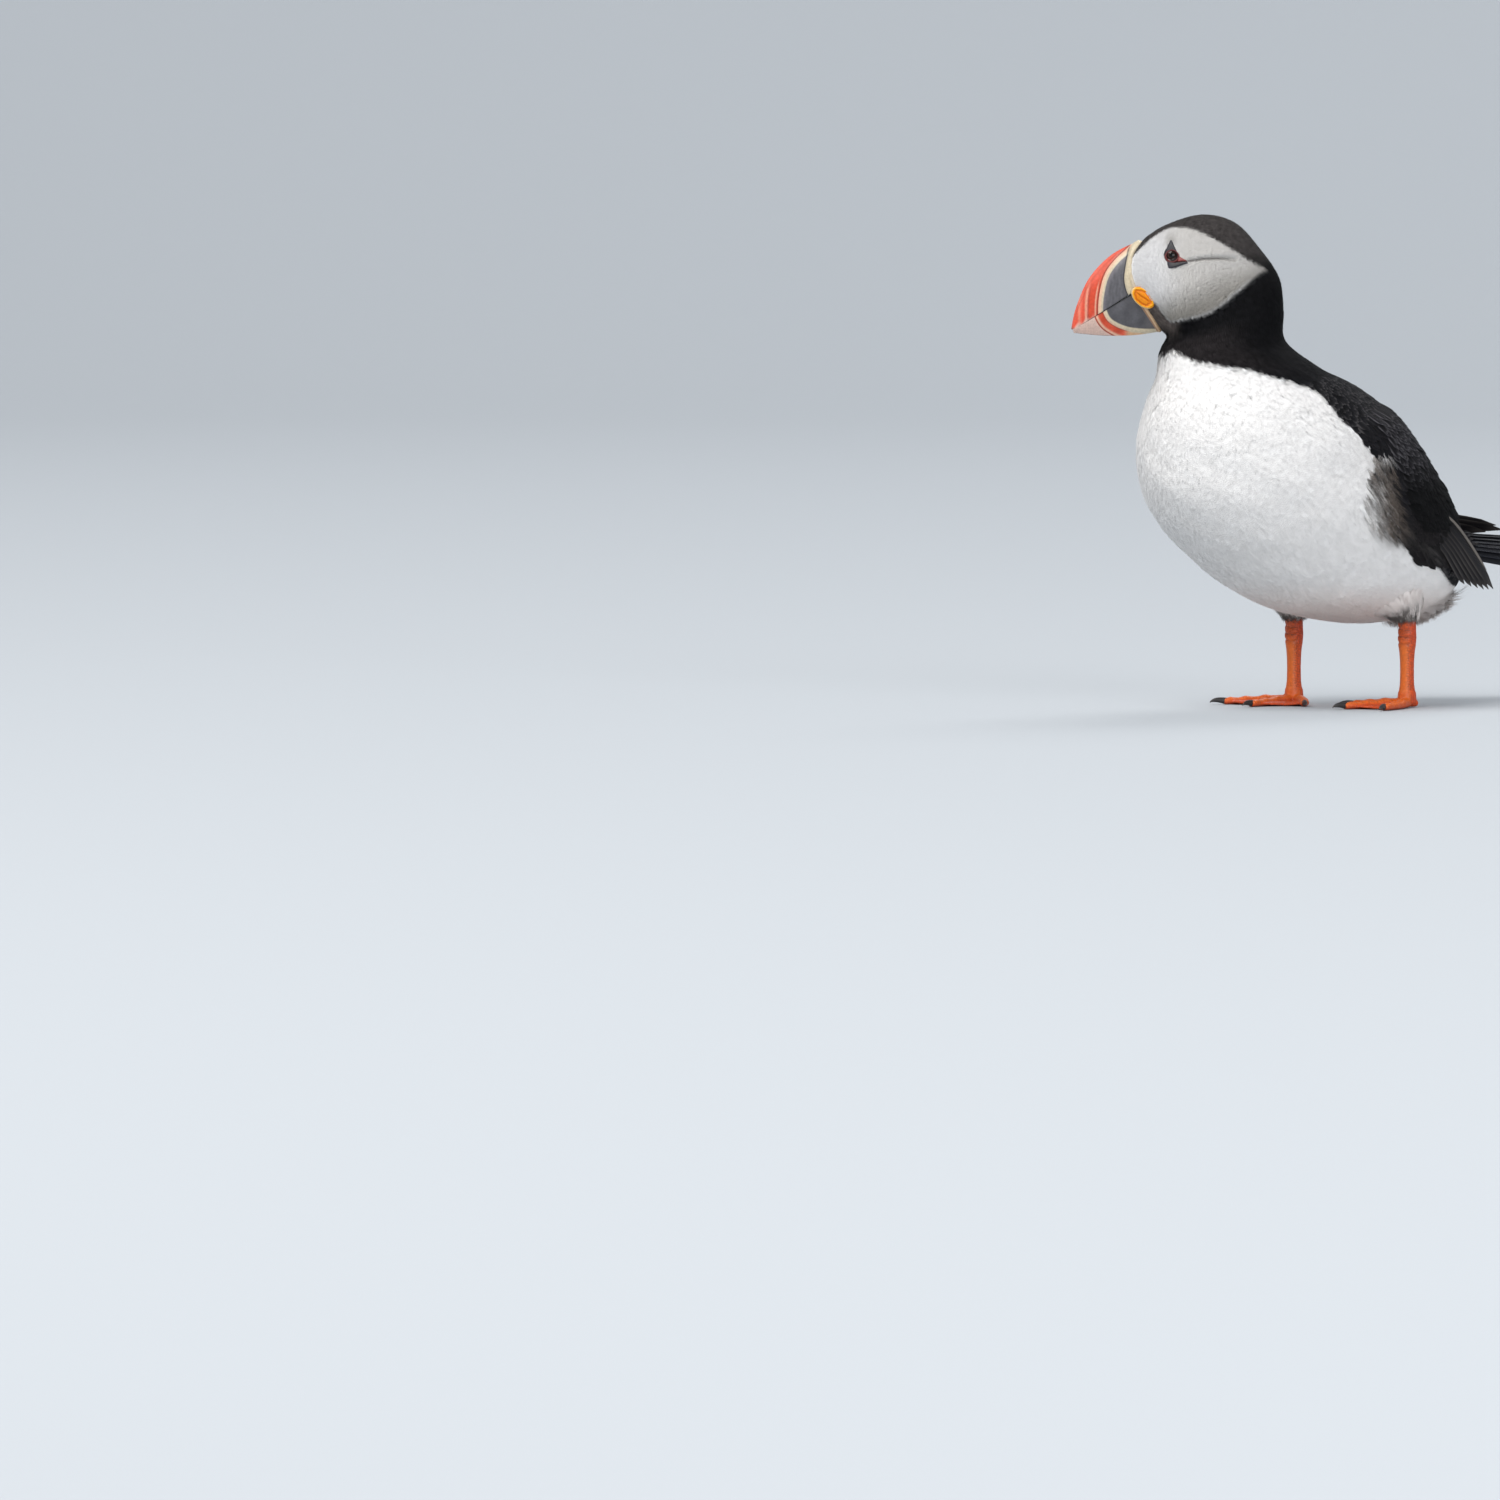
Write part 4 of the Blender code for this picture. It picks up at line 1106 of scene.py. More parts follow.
def bill_points(edge, gape_angle, ridge_angle, gap, steps, sides):
    """Rings of one half of the bill from its base to its tip, left gape over the ridge to right gape."""
    t = np.linspace(0, 1, steps)[:, None] * 0.988
    h = np.concatenate([np.linspace(0, 1, sides), np.linspace(1, 0, sides)[1:]])[None]
    sign = np.concatenate([np.ones(sides), -np.ones(sides - 1)])[None]
    ridge_line = along(edge, (t * (len(edge) - 1)).ravel())[:, None, :]
    gape = GAPE_CORNER + (GAPE_TIP - GAPE_CORNER) * t[..., None]
    gape = gape + np.array([0, 1.0]) * (gap + 0.9 - 0.5 * t + 1.2 * np.sin(math.pi * t))[..., None]
    angle = np.radians(gape_angle + (ridge_angle - gape_angle) * h)
    upper, lower, width, bow = SECTIONS[0, 0:2], SECTIONS[0, 2:4], SECTIONS[0, 4], SECTIONS[0, 5]
    across, lengthwise = np.sin(angle), np.cos(angle)
    base = (upper + lower) / 2 + (upper - lower) / 2 * lengthwise[..., None]
    base[..., 0] += bow * across**2 * (1 + 0.5 * lengthwise) + 0.4
    tip = TIP_HALF * (1 - 0.8 * h**2)
    half = width * across + (tip - width * across) * t**0.85
    half = np.maximum(half, 0.6 * (1 - rise(0.93, 1.0, h)) + 0.02)
    start = GAPE_CORNER + (edge[0] - GAPE_CORNER) * h[..., None]
    at = gape + (ridge_line - gape) * h[..., None] + (base - start) * ((1 - t) ** 2)[..., None]
    return at[..., 0], sign * half, at[..., 1], h + 0 * t, t + 0 * h


def paint_upper(u, z, h, t):
    """The upper half's colour, and its relief in millimetres."""
    cere, _ = beside(u, z, CERE_FRONT)
    pale, _ = beside(u, z, PALE_RIDGE)
    cere, pale = cere.reshape(u.shape), pale.reshape(u.shape)
    low = rise(193, 186, z)
    over_corner = z - GAPE_CORNER[1] - 0.9 + 0.5 * t - 1.2 * np.sin(math.pi * t)
    dot = (u - GAPE_CORNER[0]) * 0.427 + over_corner * 0.904
    streak = np.sin(u * 3.1 + 0.9 * np.sin(z * 0.8)) * np.sin(z * 0.37 + u)
    # The slate plate with its two lines, then the cream ridge in front of it.
    tint = mixed(SLATE, SLATE_DARK, np.clip(0.25 + 0.2 * streak, 0, 1))
    tint = mixed(tint, colour(128, 122, 128), rise(-4.4, -2.4, pale) * 0.45)
    pale_line = rise(0.2, 0.5, dot) * rise(1.6, 1.3, dot) * rise(54, 50, u)
    tint = mixed(tint, colour(146, 142, 142), pale_line * 0.9)
    for line in (0.1, 1.5):
        tint = mixed(tint, SLATE_DARK * 0.35, ridge(dot, line, 0.3) * rise(55, 51, u))
    tint = mixed(tint, CREAM, rise(-2.45, -2.0, pale))
    tint = mixed(tint, PEACH, rise(-1.9, -0.9, pale) * 0.9)
    # The red front with its grooves and worn tip.
    first_panel = rise(1.4, 2.2, pale) * low * rise(5.0, 4.4, pale)
    red = mixed(BILL_RED, BILL_ORANGE, 0.55 * first_panel)
    red = mixed(red, BILL_ORANGE, 0.75 * rise(2.6, 0.8, pale) * rise(206, 198, z))
    red = mixed(red, PEACH, 0.75 * ridge(pale, 1.15, 0.32) * low)
    red = mixed(red, PEACH, 0.65 * ridge(pale, 5.3, 0.55) * low)
    red = mixed(red, GROOVE_RED, 0.75 * ridge(pale, 4.45, 0.3) * low)
    red = mixed(red, GROOVE_RED, 0.6 * ridge(pale, 7.0, 0.5) * low * rise(62.5, 61.5, u))
    red = mixed(red, PEACH, 0.35 * ridge(pale, 8.3, 0.6) * low)
    # Painted highlight: lighter and pinker towards the ridge of the bill, where the light falls.
    red = mixed(red, colour(228, 112, 92), 0.4 * rise(0.55, 0.95, h) * rise(0.0, 0.3, t))
    red = mixed(red, GROOVE_RED, 0.35 * ridge(h, 0.86, 0.04))
    worn = rise(3.4, 1.4, dot + 0.5 * np.sin(1.7 * u)) * rise(57.5, 60.5, u)
    red = mixed(red, WORN_PINK, 0.9 * worn)
    red = mixed(red, TIP_DARK, 0.8 * rise(171.2, 169.6, z) * rise(66.5, 68, u))
    tint = mixed(tint, red, rise(-0.25, 0.05, pale))
    tint = mixed(tint, GROOVE_RED * 0.6, 0.9 * ridge(pale, 0.25, 0.26))
    # The mouth line, painted dark as the shade between the two halves, then the cere.
    band = rise(0.15, -0.2, cere)
    tint = mixed(tint, SLATE_DARK * 0.2, rise(0.014, 0.004, h))
    tint = mixed(tint, colour(40, 38, 40), 0.85 * ridge(cere, 0.35, 0.3) * rise(208, 205, z))
    skin_tint = mixed(CREAM, colour(176, 164, 146), 0.6 * rise(-2.0, -3.4, cere))
    skin_tint = mixed(skin_tint, colour(190, 172, 138), 0.6 * ridge(cere, -2.6, 0.35))
    tint = mixed(tint, skin_tint, band)
    tucked = rise(0.035, 0.0, t) * rise(0.45, 0.8, h)
    relief = 0.50 * rise(0.1, -0.9, cere) - 0.12 * ridge(cere, -2.6, 0.4) - 0.9 * tucked
    relief = relief + rise(0.1, 0.3, cere) * 0.32 * ridge(pale, -1.1, 0.8)
    grooves = -0.22 * ridge(pale, 0.3, 0.3) - 0.24 * ridge(pale, 4.4, 0.35) * low
    grooves = grooves - 0.2 * ridge(pale, 7.0, 0.5) * low
    grooves = grooves - 0.16 * rise(1.5, 2.2, pale) * rise(4.6, 4.0, pale) * low
    grooves = grooves + 0.14 * ridge(pale, 5.3, 0.6) * low
    grooves = grooves + 0.12 * ridge(pale, 1.15, 0.35) * low + 0.1 * ridge(pale, 8.4, 0.7) * low
    cuts = -0.16 * (ridge(dot, 0.15, 0.28) + ridge(dot, 1.5, 0.28)) * rise(55, 51, u)
    relief = relief + (grooves + cuts) * rise(0.0, 0.5, cere)
    return tint, np.where(t < 0.04, relief, relief * rise(1.0, 0.93, h))


def paint_lower(u, z, h, t):
    """The lower half's colour, and its relief in millimetres."""
    inside, _ = beside(u, z, LOWER_PLATE)
    out = -inside.reshape(u.shape)
    ahead = rise(41.5, 45.5, u)
    streak = 0.6 * np.sin(0.9 * u + 0.5 * np.sin(1.3 * z)) + 0.4 * np.sin(0.7 * z + 0.5 * u)
    # The slate plate, its cream border, then the red front with its grooves.
    tint = mixed(SLATE, SLATE_DARK, np.clip(0.45 + 0.25 * streak, 0, 1))
    tint = mixed(tint, colour(104, 96, 92), 0.5 * rise(38, 30, u))
    tint = mixed(tint, CREAM, rise(-0.35, 0.15, out))
    tint = mixed(tint, PEACH, rise(0.5, 1.6, out) * rise(42, 47, u) * 0.9)
    bands = mixed(BILL_ORANGE, colour(222, 84, 52), 0.5 * (1 + streak))
    tint = mixed(tint, bands, rise(1.7, 2.0, out) * ahead)
    tint = mixed(tint, colour(216, 150, 92), rise(1.5, 2.6, out) * (1 - ahead) * rise(33, 38, u) * 0.6)
    tint = mixed(tint, PEACH, ridge(out, 5.0, 0.55) * ahead)
    tint = mixed(tint, WORN_PINK, rise(5.9, 6.3, out) * ahead)
    speck, _ = cells(u * 1.3, z * 1.3)
    tint = mixed(tint, colour(170, 140, 134), 0.4 * (1 - speck) * rise(6.3, 7.0, out) * ahead)
    grooves = 0.85 * ridge(out, 5.85, 0.22) * ahead + 0.75 * ridge(out, 1.85, 0.2) * ahead
    tint = mixed(tint, GROOVE_RED * 0.6, grooves)
    tint = mixed(tint, TIP_DARK, 0.55 * rise(0.93, 0.99, h) * rise(48, 52, u))
    # The mouth line, painted dark as the shade between the two halves.
    tint = mixed(tint, SLATE_DARK * 0.2, rise(0.016, 0.004, h))
    # The fold of skin at its base.
    fold = rise(0.062, 0.045, t)
    tint = mixed(tint, colour(206, 172, 134), fold)
    tint = mixed(tint, colour(128, 74, 54), 0.85 * ridge(t, 0.042, 0.009) * (1 - 0.5 * rise(0.7, 1, h)))
    relief = 0.22 * ridge(out, 0.9, 0.9) + 0.25 * fold - 0.16 * ridge(t, 0.042, 0.009)
    steps = 0.16 * ridge(out, 5.0, 0.6) - 0.16 * ridge(out, 5.85, 0.25) - 0.14 * ridge(out, 1.9, 0.2)
    relief = relief + (steps - 0.1 * rise(2.0, 2.4, out) * rise(4.5, 4.1, out)) * ahead
    return tint, relief * rise(1.0, 0.93, h)


def build_bill(name, edge, gape_angle, ridge_angle, gap, markings):
    """One half of the bill, with its relief cut into it."""
    steps, sides = 230, 90
    u, side, z, h, t = bill_points(edge, gape_angle, ridge_angle, gap, steps, sides)
    tint, relief = markings(u, z, h, t)
    flat = np.stack([u, side, z], -1)
    run = np.gradient(flat, axis=0)
    over = np.gradient(flat, axis=1)
    out = unit(np.cross(run, over))
    out = out * np.sign((out[..., 1:2] * np.sign(side)[..., None]).mean())
    flat = flat + out * relief[..., None]
    skirt = flat[0].mean(0) + (flat[0] - flat[0].mean(0)) * 0.9
    flat[0] = skirt - np.array([1.3, 0, 0])
    rings = turned(flat[..., 0], flat[..., 1], flat[..., 2])
    half = add_mesh(name, *closed_tube(rings), np.clip(to_ends(tint), 0, 1))
    turn_out(half)
    return half


def horn_finish(name, roughness, scale, bump, **levels):
    """Horn or bare skin: the painted pigment with a fine uneven surface."""
    made, shader, pigment = new_material(name, roughness, **levels)
    nodes, links = made.node_tree.nodes, made.node_tree.links
    place = nodes.new("ShaderNodeTexCoord")
    grain = nodes.new("ShaderNodeTexNoise")
    grain.inputs["Scale"].default_value = scale
    grain.inputs["Detail"].default_value = 5.0
    links.new(place.outputs["Object"], grain.inputs["Vector"])
    range_of = nodes.new("ShaderNodeMapRange")
    for socket, level in (("From Min", 0.3), ("From Max", 0.7), ("To Min", 0.86), ("To Max", 1.08)):
        range_of.inputs[socket].default_value = level
    links.new(grain.outputs["Fac"], range_of.inputs["Value"])
    shade_and_raise(made, shader, pigment, range_of.outputs["Result"], grain.outputs["Fac"], bump)
    return made


bill_horn = horn_finish("bill horn", 0.38, 900.0, 0.3, Specular_IOR_Level=0.45)
for name, edge, low_angle, high_angle, gap, markings in (
    ("bill_top", CULMEN, 97, 0, -0.02, paint_upper),
    ("bill_bottom", KEEL, 99, 180, 0.02, paint_lower),
):
    half = build_bill(name, edge, low_angle, high_angle, gap, markings)
    half.data.materials.append(bill_horn)
    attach(half, "root")
    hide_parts("bill_upper" if name == "bill_top" else "bill_lower")

# ---------------------------------------------------------------------------------------------------
# Gape rosettes. A thick fold of soft orange skin at each corner of the mouth, where the halves of the bill
# meet the face, with a raised pale rim round a slit. It lies over the joint of bill and plumage.
# ---------------------------------------------------------------------------------------------------

# The middle of a rosette: forward, out and up, and how far its long way is tilted.
ROSETTE_AT, ROSETTE_TILT = np.array([36.7, 10.0, 184.0]), math.radians(42)


def build_rosette(side_name, hand):
    """A cushion of skin. f and q run forward and up over it, s out of it."""
    rows, columns = 90, 120
    polar, around = round_grid(0, math.pi, rows, columns)
    f, q, s = np.sin(polar) * np.cos(around), np.sin(polar) * np.sin(around), np.cos(polar)
    r = np.sin(polar)
    top = s > 0
    wander = 0.06 * np.sin(5 * around + 1) + 0.04 * np.sin(9 * around)
    rim = ridge(r, 0.86 + wander * 0.3, 0.10) * top
    trough = ridge(r, 0.66 + wander * 0.5, 0.10) * top
    slit = ridge(q + 0.08 * np.sin(4 * f), 0.06, 0.09) * rise(0.62, 0.45, np.abs(f)) * top
    wrinkle = 0.05 * np.sin(26 * around + 6 * r) * rise(0.3, 0.8, r)
    lift = 0.35 * rim - 0.38 * trough - 0.45 * slit + wrinkle * top
    forward, up_way = 6.1 * f, 3.7 * q
    forward, up_way = (
        forward * math.cos(ROSETTE_TILT) - up_way * math.sin(ROSETTE_TILT),
        forward * math.sin(ROSETTE_TILT) + up_way * math.cos(ROSETTE_TILT),
    )
    out = 1.6 * np.sign(s) * np.abs(s) ** 0.7 + lift + 1.0
    out = out + 0.27 * np.maximum(-forward, 0) - 0.10 * np.maximum(forward, 0)
    points = turned(ROSETTE_AT[0] + forward, hand * (ROSETTE_AT[1] + out), ROSETTE_AT[2] + up_way)
    tint = mixed(colour(220, 130, 8), colour(234, 166, 28), 0.85 * rim)
    # Painted shade in the trough inside the rim and in the slit.
    tint = mixed(tint, colour(196, 98, 6), 0.75 * trough)
    tint = mixed(tint, colour(176, 84, 6), 0.7 * slit)
    edge_cream = rise(0.86, 0.97, r) * rise(0.15, -0.3, q - 0.35 * f)
    tint = mixed(tint, colour(226, 206, 160), 0.85 * edge_cream)
    made = add_mesh("rosette_" + side_name + "_skin", points.reshape(-1, 3),
                    grid_faces(rows, columns, True), tint.reshape(-1, 3))
    turn_out(made)
    return made


rosette_skin = horn_finish("rosette skin", 0.5, 1400.0, 0.35, Specular_IOR_Level=0.25)
for side_name, hand in (("left", 1), ("right", -1)):
    rosette = build_rosette(side_name, hand)
    rosette.data.materials.append(rosette_skin)
    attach(rosette, "root")
    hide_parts("rosette_" + side_name)

# ---------------------------------------------------------------------------------------------------
# Eyes. A dark brown eye in a ring of bare red skin, with a pointed slate plate of horn above it and a long
# one below, both lying on the face.
# ---------------------------------------------------------------------------------------------------

# How far from the head's middle line an eye's centre lies, and its radius.
EYE_DEEP, EYE_RADIUS = 11.2, 4.5
# Borders of the bare skin behind the eye and of the two plates, from the eye's middle.
CORNER_BORDER = [(-2.2, 1.2), (-4.1, -0.5), (-6.9, -2.2), (-4.6, -2.4), (-2.2, -2.3)]
OVER_BORDER = [
    (-3.0, 1.0), (-2.0, 2.9), (-1.0, 5.0), (0.3, 7.4), (1.7, 5.4), (2.6, 3.2), (3.2, 1.2), (0.2, 1.9),
]
UNDER_BORDER = [
    (2.4, -2.3), (1.7, -5.2), (-0.9, -5.2), (-4.6, -3.9), (-7.7, -2.7), (-4.6, -2.5), (-0.9, -2.7),
]


def on_head_at(forward, up, hand, above):
    """The place on the head's side at a given forward and up, raised by above millimetres."""
    forward, up = np.asarray(forward, float), np.asarray(up, float)
    sections, degrees = np.linspace(0.05, 6.0, 120), np.linspace(30, 150, 121)
    s_grid, a_grid = np.meshgrid(sections, np.radians(degrees), indexing="ij")
    _, marks = outline(s_grid, a_grid)
    tree = kdtree.KDTree(s_grid.size)
    for k, (a, b) in enumerate(zip(marks[..., 0].ravel(), marks[..., 2].ravel())):
        tree.insert((a, b, 0), k)
    tree.balance()
    near = np.array([tree.find((a, b, 0))[1] for a, b in zip(forward.ravel(), up.ravel())])
    s, angle = s_grid.ravel()[near], a_grid.ravel()[near]
    for _ in range(6):
        _, here = outline(s, angle)
        _, ds = outline(s + 0.01, angle)
        _, da = outline(s, angle + 0.005)
        j = np.stack([(ds - here)[:, [0, 2]] / 0.01, (da - here)[:, [0, 2]] / 0.005], -1)
        miss = np.stack([forward.ravel(), up.ravel()], -1) - here[:, [0, 2]]
        step = np.linalg.solve(j + np.eye(2) * 1e-6, miss[..., None])[..., 0]
        s = np.clip(s + step[:, 0], 0.02, 6.0)
        angle = np.clip(angle + step[:, 1], 0.3, 2.8)
    points, _ = outline(s, angle * hand, np.ravel(above))
    return points.reshape(*forward.shape, 3)


def face_patch(name, border, hand, height, tint, rows=14, columns=96):
    """A low plate on the face inside a border given from the middle of the eye. height and tint take how far
    out a place is, 0 to 1."""
    rim = EYE_AT + curve_through(border + border[:1], columns + 1)[:-1]
    centre = rim.mean(0)
    r = np.linspace(0, 1, rows)
    grid = centre + (rim - centre)[None] * r[:, None, None]
    above = height(r)[:, None] + 0 * grid[..., 0]
    points = on_head_at(grid[..., 0], grid[..., 1], hand, above)
    tints = np.repeat(tint(r)[:, None], columns, 1)
    made = add_mesh(name, points.reshape(-1, 3), grid_faces(rows, columns, True), tints.reshape(-1, 3))
    turn_out(made)
    return made


def plate_height(peak):
    """A plate's height from its middle to its edge, which dips into the plumage."""
    return lambda r: peak * (1 - r**5) - 0.9 * rise(0.9, 1.0, r)


def plate_tint(r):
    """Dark slate, paler towards the edge."""
    return mixed(colour(30, 29, 34), colour(52, 50, 58), rise(0.5, 0.95, r))


def corner_tint(r):
    """Dull red, darker towards the edge."""
    return mixed(colour(132, 58, 54), colour(84, 36, 34), rise(0.5, 1, r))


def build_eye(side_name, hand):
    """A ball with a clear bulge over its iris and pupil."""
    rows, columns = 140, 96
    polar, around = round_grid(0.001, math.pi, rows, columns)
    f = EYE_RADIUS * np.sin(polar) * np.cos(around)
    q = EYE_RADIUS * np.sin(polar) * np.sin(around)
    s = EYE_RADIUS * np.cos(polar)
    r = EYE_RADIUS * np.sin(polar)
    tip = math.radians(6)  # the eye looks a little down
    s2, q2 = s * math.cos(tip) - q * math.sin(tip), s * math.sin(tip) + q * math.cos(tip)
    bulge = 0.22 * np.exp(-((r / 1.9) ** 2)) * (s > 0)
    points = turned(EYE_AT[0] + f, hand * (EYE_DEEP + s2 + bulge), EYE_AT[1] + q2)
    spokes = 0.5 + 0.5 * np.sin(31 * around + 2 * np.sin(7 * around))
    iris = mixed(colour(42, 24, 20), colour(74, 42, 32), 0.6 * spokes * ridge(r, 1.7, 0.5))
    iris = mixed(iris, colour(24, 14, 13), rise(2.0, 2.5, r))
    tint = mixed(iris, colour(5, 5, 6), rise(1.32, 1.2, r))
    made = add_mesh("eyeball_" + side_name, points.reshape(-1, 3), grid_faces(rows, columns, True),
                    tint.reshape(-1, 3))
    turn_out(made)
    return made


def build_eye_ring(side_name, hand):
    """A fleshy ring that covers the eye's edge."""
    rows, columns = 22, 120
    r, around = round_grid(2.2, 3.7, rows, columns)
    stretch = 1 + 0.07 * np.cos(2 * around)
    above = np.interp(r, [2.2, 2.45, 2.65, 2.85, 3.1, 3.35, 3.7], [-0.2, 0.75, 1.05, 1.12, 0.95, 0.4, -0.9])
    above = above + 0.05 * np.sin(34 * around)
    forward = EYE_AT[0] + 0.9 * r * np.cos(around) * stretch
    up_way = EYE_AT[1] + 0.9 * r * np.sin(around)
    points = on_head_at(forward, up_way, hand, above)
    tint = mixed(colour(92, 30, 30), colour(28, 14, 14), rise(2.8, 2.45, r))
    # Painted highlight: a pinkish band over the ring's outer part, strongest along its lower side.
    tint = mixed(tint, colour(150, 84, 80), 0.5 * ridge(r, 3.2, 0.15) * (0.6 - 0.4 * np.sin(around)))
    made = add_mesh("eye_ring_" + side_name, points.reshape(-1, 3), grid_faces(rows, columns, True),
                    tint.reshape(-1, 3))
    turn_out(made)
    return made


wet_eye, _, _ = new_material("wet dark eye", 0.07, Specular_IOR_Level=0.28)
eye_skin = horn_finish("eye ring skin", 0.4, 1500.0, 0.2, Specular_IOR_Level=0.4)
eye_horn = horn_finish("eye plate horn", 0.5, 900.0, 0.2, Specular_IOR_Level=0.45)
for side_name, hand in (("left", 1), ("right", -1)):
    eyeball = build_eye(side_name, hand)
    eyeball.data.materials.append(wet_eye)
    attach(eyeball, "root")
    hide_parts("eye_" + side_name)
    ring = build_eye_ring(side_name, hand)
    corner = face_patch("eye_corner_" + side_name, CORNER_BORDER, hand, plate_height(0.75), corner_tint)
    for piece in (ring, corner):
        piece.data.materials.append(eye_skin)
        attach(piece, "root")
    above_eye = face_patch("plate_over_eye_" + side_name, OVER_BORDER, hand, plate_height(0.8), plate_tint)
    below_eye = face_patch("plate_under_eye_" + side_name, UNDER_BORDER, hand, plate_height(0.85), plate_tint)
    for piece in (above_eye, below_eye):
        piece.data.materials.append(eye_horn)
        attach(piece, "root")

# ---------------------------------------------------------------------------------------------------
# Claws. Dark curved horn with a keel along its top, one at the end of each toe, blunt from walking on rock.
# Each starts inside the toe's skin and its point comes down to the ground.
# ---------------------------------------------------------------------------------------------------

# How deep a claw starts inside the toe, how far it reaches, and its radius at the root and at the point.
CLAW_ROOT, CLAW_LONG, CLAW_THICK, CLAW_POINT = 1.2, 7.6, 1.42, 0.22

claw_horn = horn_finish("claw horn", 0.4, 1200.0, 0.4, Specular_IOR_Level=0.45)
for side in TOES:
    for toe, (degrees, length, _) in TOES[side].items():
        t = np.linspace(0, 1, 40)
        forward = length - CLAW_ROOT + CLAW_LONG * np.sin(t * 1.25) / math.sin(1.25)
        height = 1.45 + 0.9 * np.sin(t * math.pi * 0.75) - 1.1 * t**2
        radius = CLAW_THICK + (CLAW_POINT - CLAW_THICK) * t**1.3
        way = toe_way(degrees)
        flat = np.array(ANKLES[side]) + forward[:, None] * way
        spine = np.column_stack([flat, np.maximum(height, radius * 1.05)])
        a = np.linspace(0, math.tau, 29)[:-1]
        across = np.array([-way[1], way[0], 0])
        keel = 1 + 0.16 * np.maximum(np.sin(a), 0) ** 3
        ring = spine[:, None] + across * (np.cos(a) * radius[:, None] * 0.8)[..., None]
        ring = ring + np.array([0, 0, 1.0]) * (np.sin(a) * keel * radius[:, None])[..., None]
        shade = mixed(colour(46, 42, 42) + 0 * ring, colour(96, 84, 78), 0.5 * rise(0.75, 1.0, t)[:, None])
        claw = add_mesh("claw_horn_" + side + "_" + toe, *closed_tube((ring - MIDDLE) * MM), to_ends(shade))
        turn_out(claw)
        claw.data.materials.append(claw_horn)
        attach(claw, "root")
        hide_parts("claw_" + side + "_" + toe)

# ---------------------------------------------------------------------------------------------------
# Wings. Folded over the flanks: coverts that grow longer towards the tail, a row of long secondaries from
# under them, and soft scapulars, the shoulder's lobe, over the upper edge. All are black with slightly paler
# edges and are rooted in the skin as the body's feathers are.
# ---------------------------------------------------------------------------------------------------


WING_BLACK, WING_EDGE = colour(26, 24, 25), colour(62, 58, 58)


def pointed_tip(t):
    """A flight feather's width from its root to its tip."""
    return np.interp(t, [0, 0.25, 0.6, 0.8, 0.94, 1], [0.45, 0.85, 1, 0.95, 0.74, 0.3])


def blunt_tip(t):
    """A tail feather's width from its root to its tip."""
    return np.interp(t, [0, 0.2, 0.5, 0.82, 0.93, 1], [0.3, 0.75, 1, 1, 0.88, 0.5])


BROAD_VANE = whole_vane(12, 7, rounded)
QUILL_VANE = whole_vane(18, 7, pointed_tip)
TAIL_VANE = whole_vane(12, 7, blunt_tip)


def lay_row(rng, hand, start, stop, count, length, half, lift, stack, turn=0.0, sink=1.2, jitter=1.0):
    """One row of wing feathers. start and stop are the first and last root: section and degrees. stack is
    how much higher the last one lies than the first, sink how deep the roots go into the skin."""
    k = np.linspace(0, 1, count)
    s = start[0] + (stop[0] - start[0]) * k + rng.normal(0, 0.02, count) * jitter
    degrees = start[1] + (stop[1] - start[1]) * k + rng.normal(0, 0.5, count) * jitter
    angle = hand * np.radians(degrees)
    long = np.interp(k, [0, 1], length) * rng.normal(1, 0.03 * jitter, count)
    t = np.linspace(0, 1, PLACES)
    height = lift + stack * k[:, None] - sink * (1 - t) ** 2 + rng.normal(0, 0.05, count)[:, None] * t
    bearing = hand * (turn + rng.normal(0, 0.03 * jitter, count))
    path, _ = feather_path(s, angle, long, height, bearing)
    halves = np.interp(k, [0, 1], half) * rng.normal(1, 0.04, count)
    return path, halves, np.stack([s, angle], 1)


def wing_tints(rng, count, base, spread=0.10):
    """A shade of the base colour for each feather."""
    return base * rng.normal(1, spread, count)[:, None]


def lay_wing(name, hand, rows, vane, seed, arch, edge):
    """Rows of wing feathers as one mesh."""
    rng = np.random.default_rng(seed)
    parts = [lay_row(rng, hand, *row) for row in rows]
    path = tuple(np.concatenate([p[0][k] for p in parts]) for k in range(3))
    halves = np.concatenate([p[1] for p in parts])
    roots = np.concatenate([p[2] for p in parts])
    tints = wing_tints(rng, len(halves), WING_BLACK)
    made = feather_mesh(name, vane, path, halves, arch, tints, roots, seed, ragged=0.0, twist=0.04,
                        edge=edge, even=0.35, lean=0.12)
    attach(made, "root")
    return made


def on_folded_wing(s, angle, marks):
    """The wing, in front of its secondaries."""
    return (on_wing(s, angle) > 0.2) & (s < 13.5)


def lobe_tint(s, angle, tints, rng):
    """Velvety black over the shoulder and back edge of the wing."""
    return mixed(colour(26, 25, 28), colour(9, 9, 10), rise(10.6, 11.6, s))


def on_lobe(s, angle, marks):
    """The shoulder lobe over the wing's upper edge, up to where the white begins."""
    deg = np.degrees(np.abs(angle))
    end = np.interp(deg, [10, 40, 50, 66, 74], [13.0, 13.0, 13.0, 12.9, 12.6])
    clear = darkness(s + 0.5, angle, outline(s + 0.5, angle)[1]) > 0.5
    return (deg < np.interp(s, [9.8, 10.6, 11.4, 12.2], [60, 63, 65, 70])) & (deg > 6) & (s < end) & clear


def covert_tint(s, angle, tints, rng):
    """Black at the shoulder, soft dark grey below the lobe."""
    return mixed(np.minimum(tints, BLACK * 1.1), colour(25, 23, 24), rise(11.8, 12.8, s))


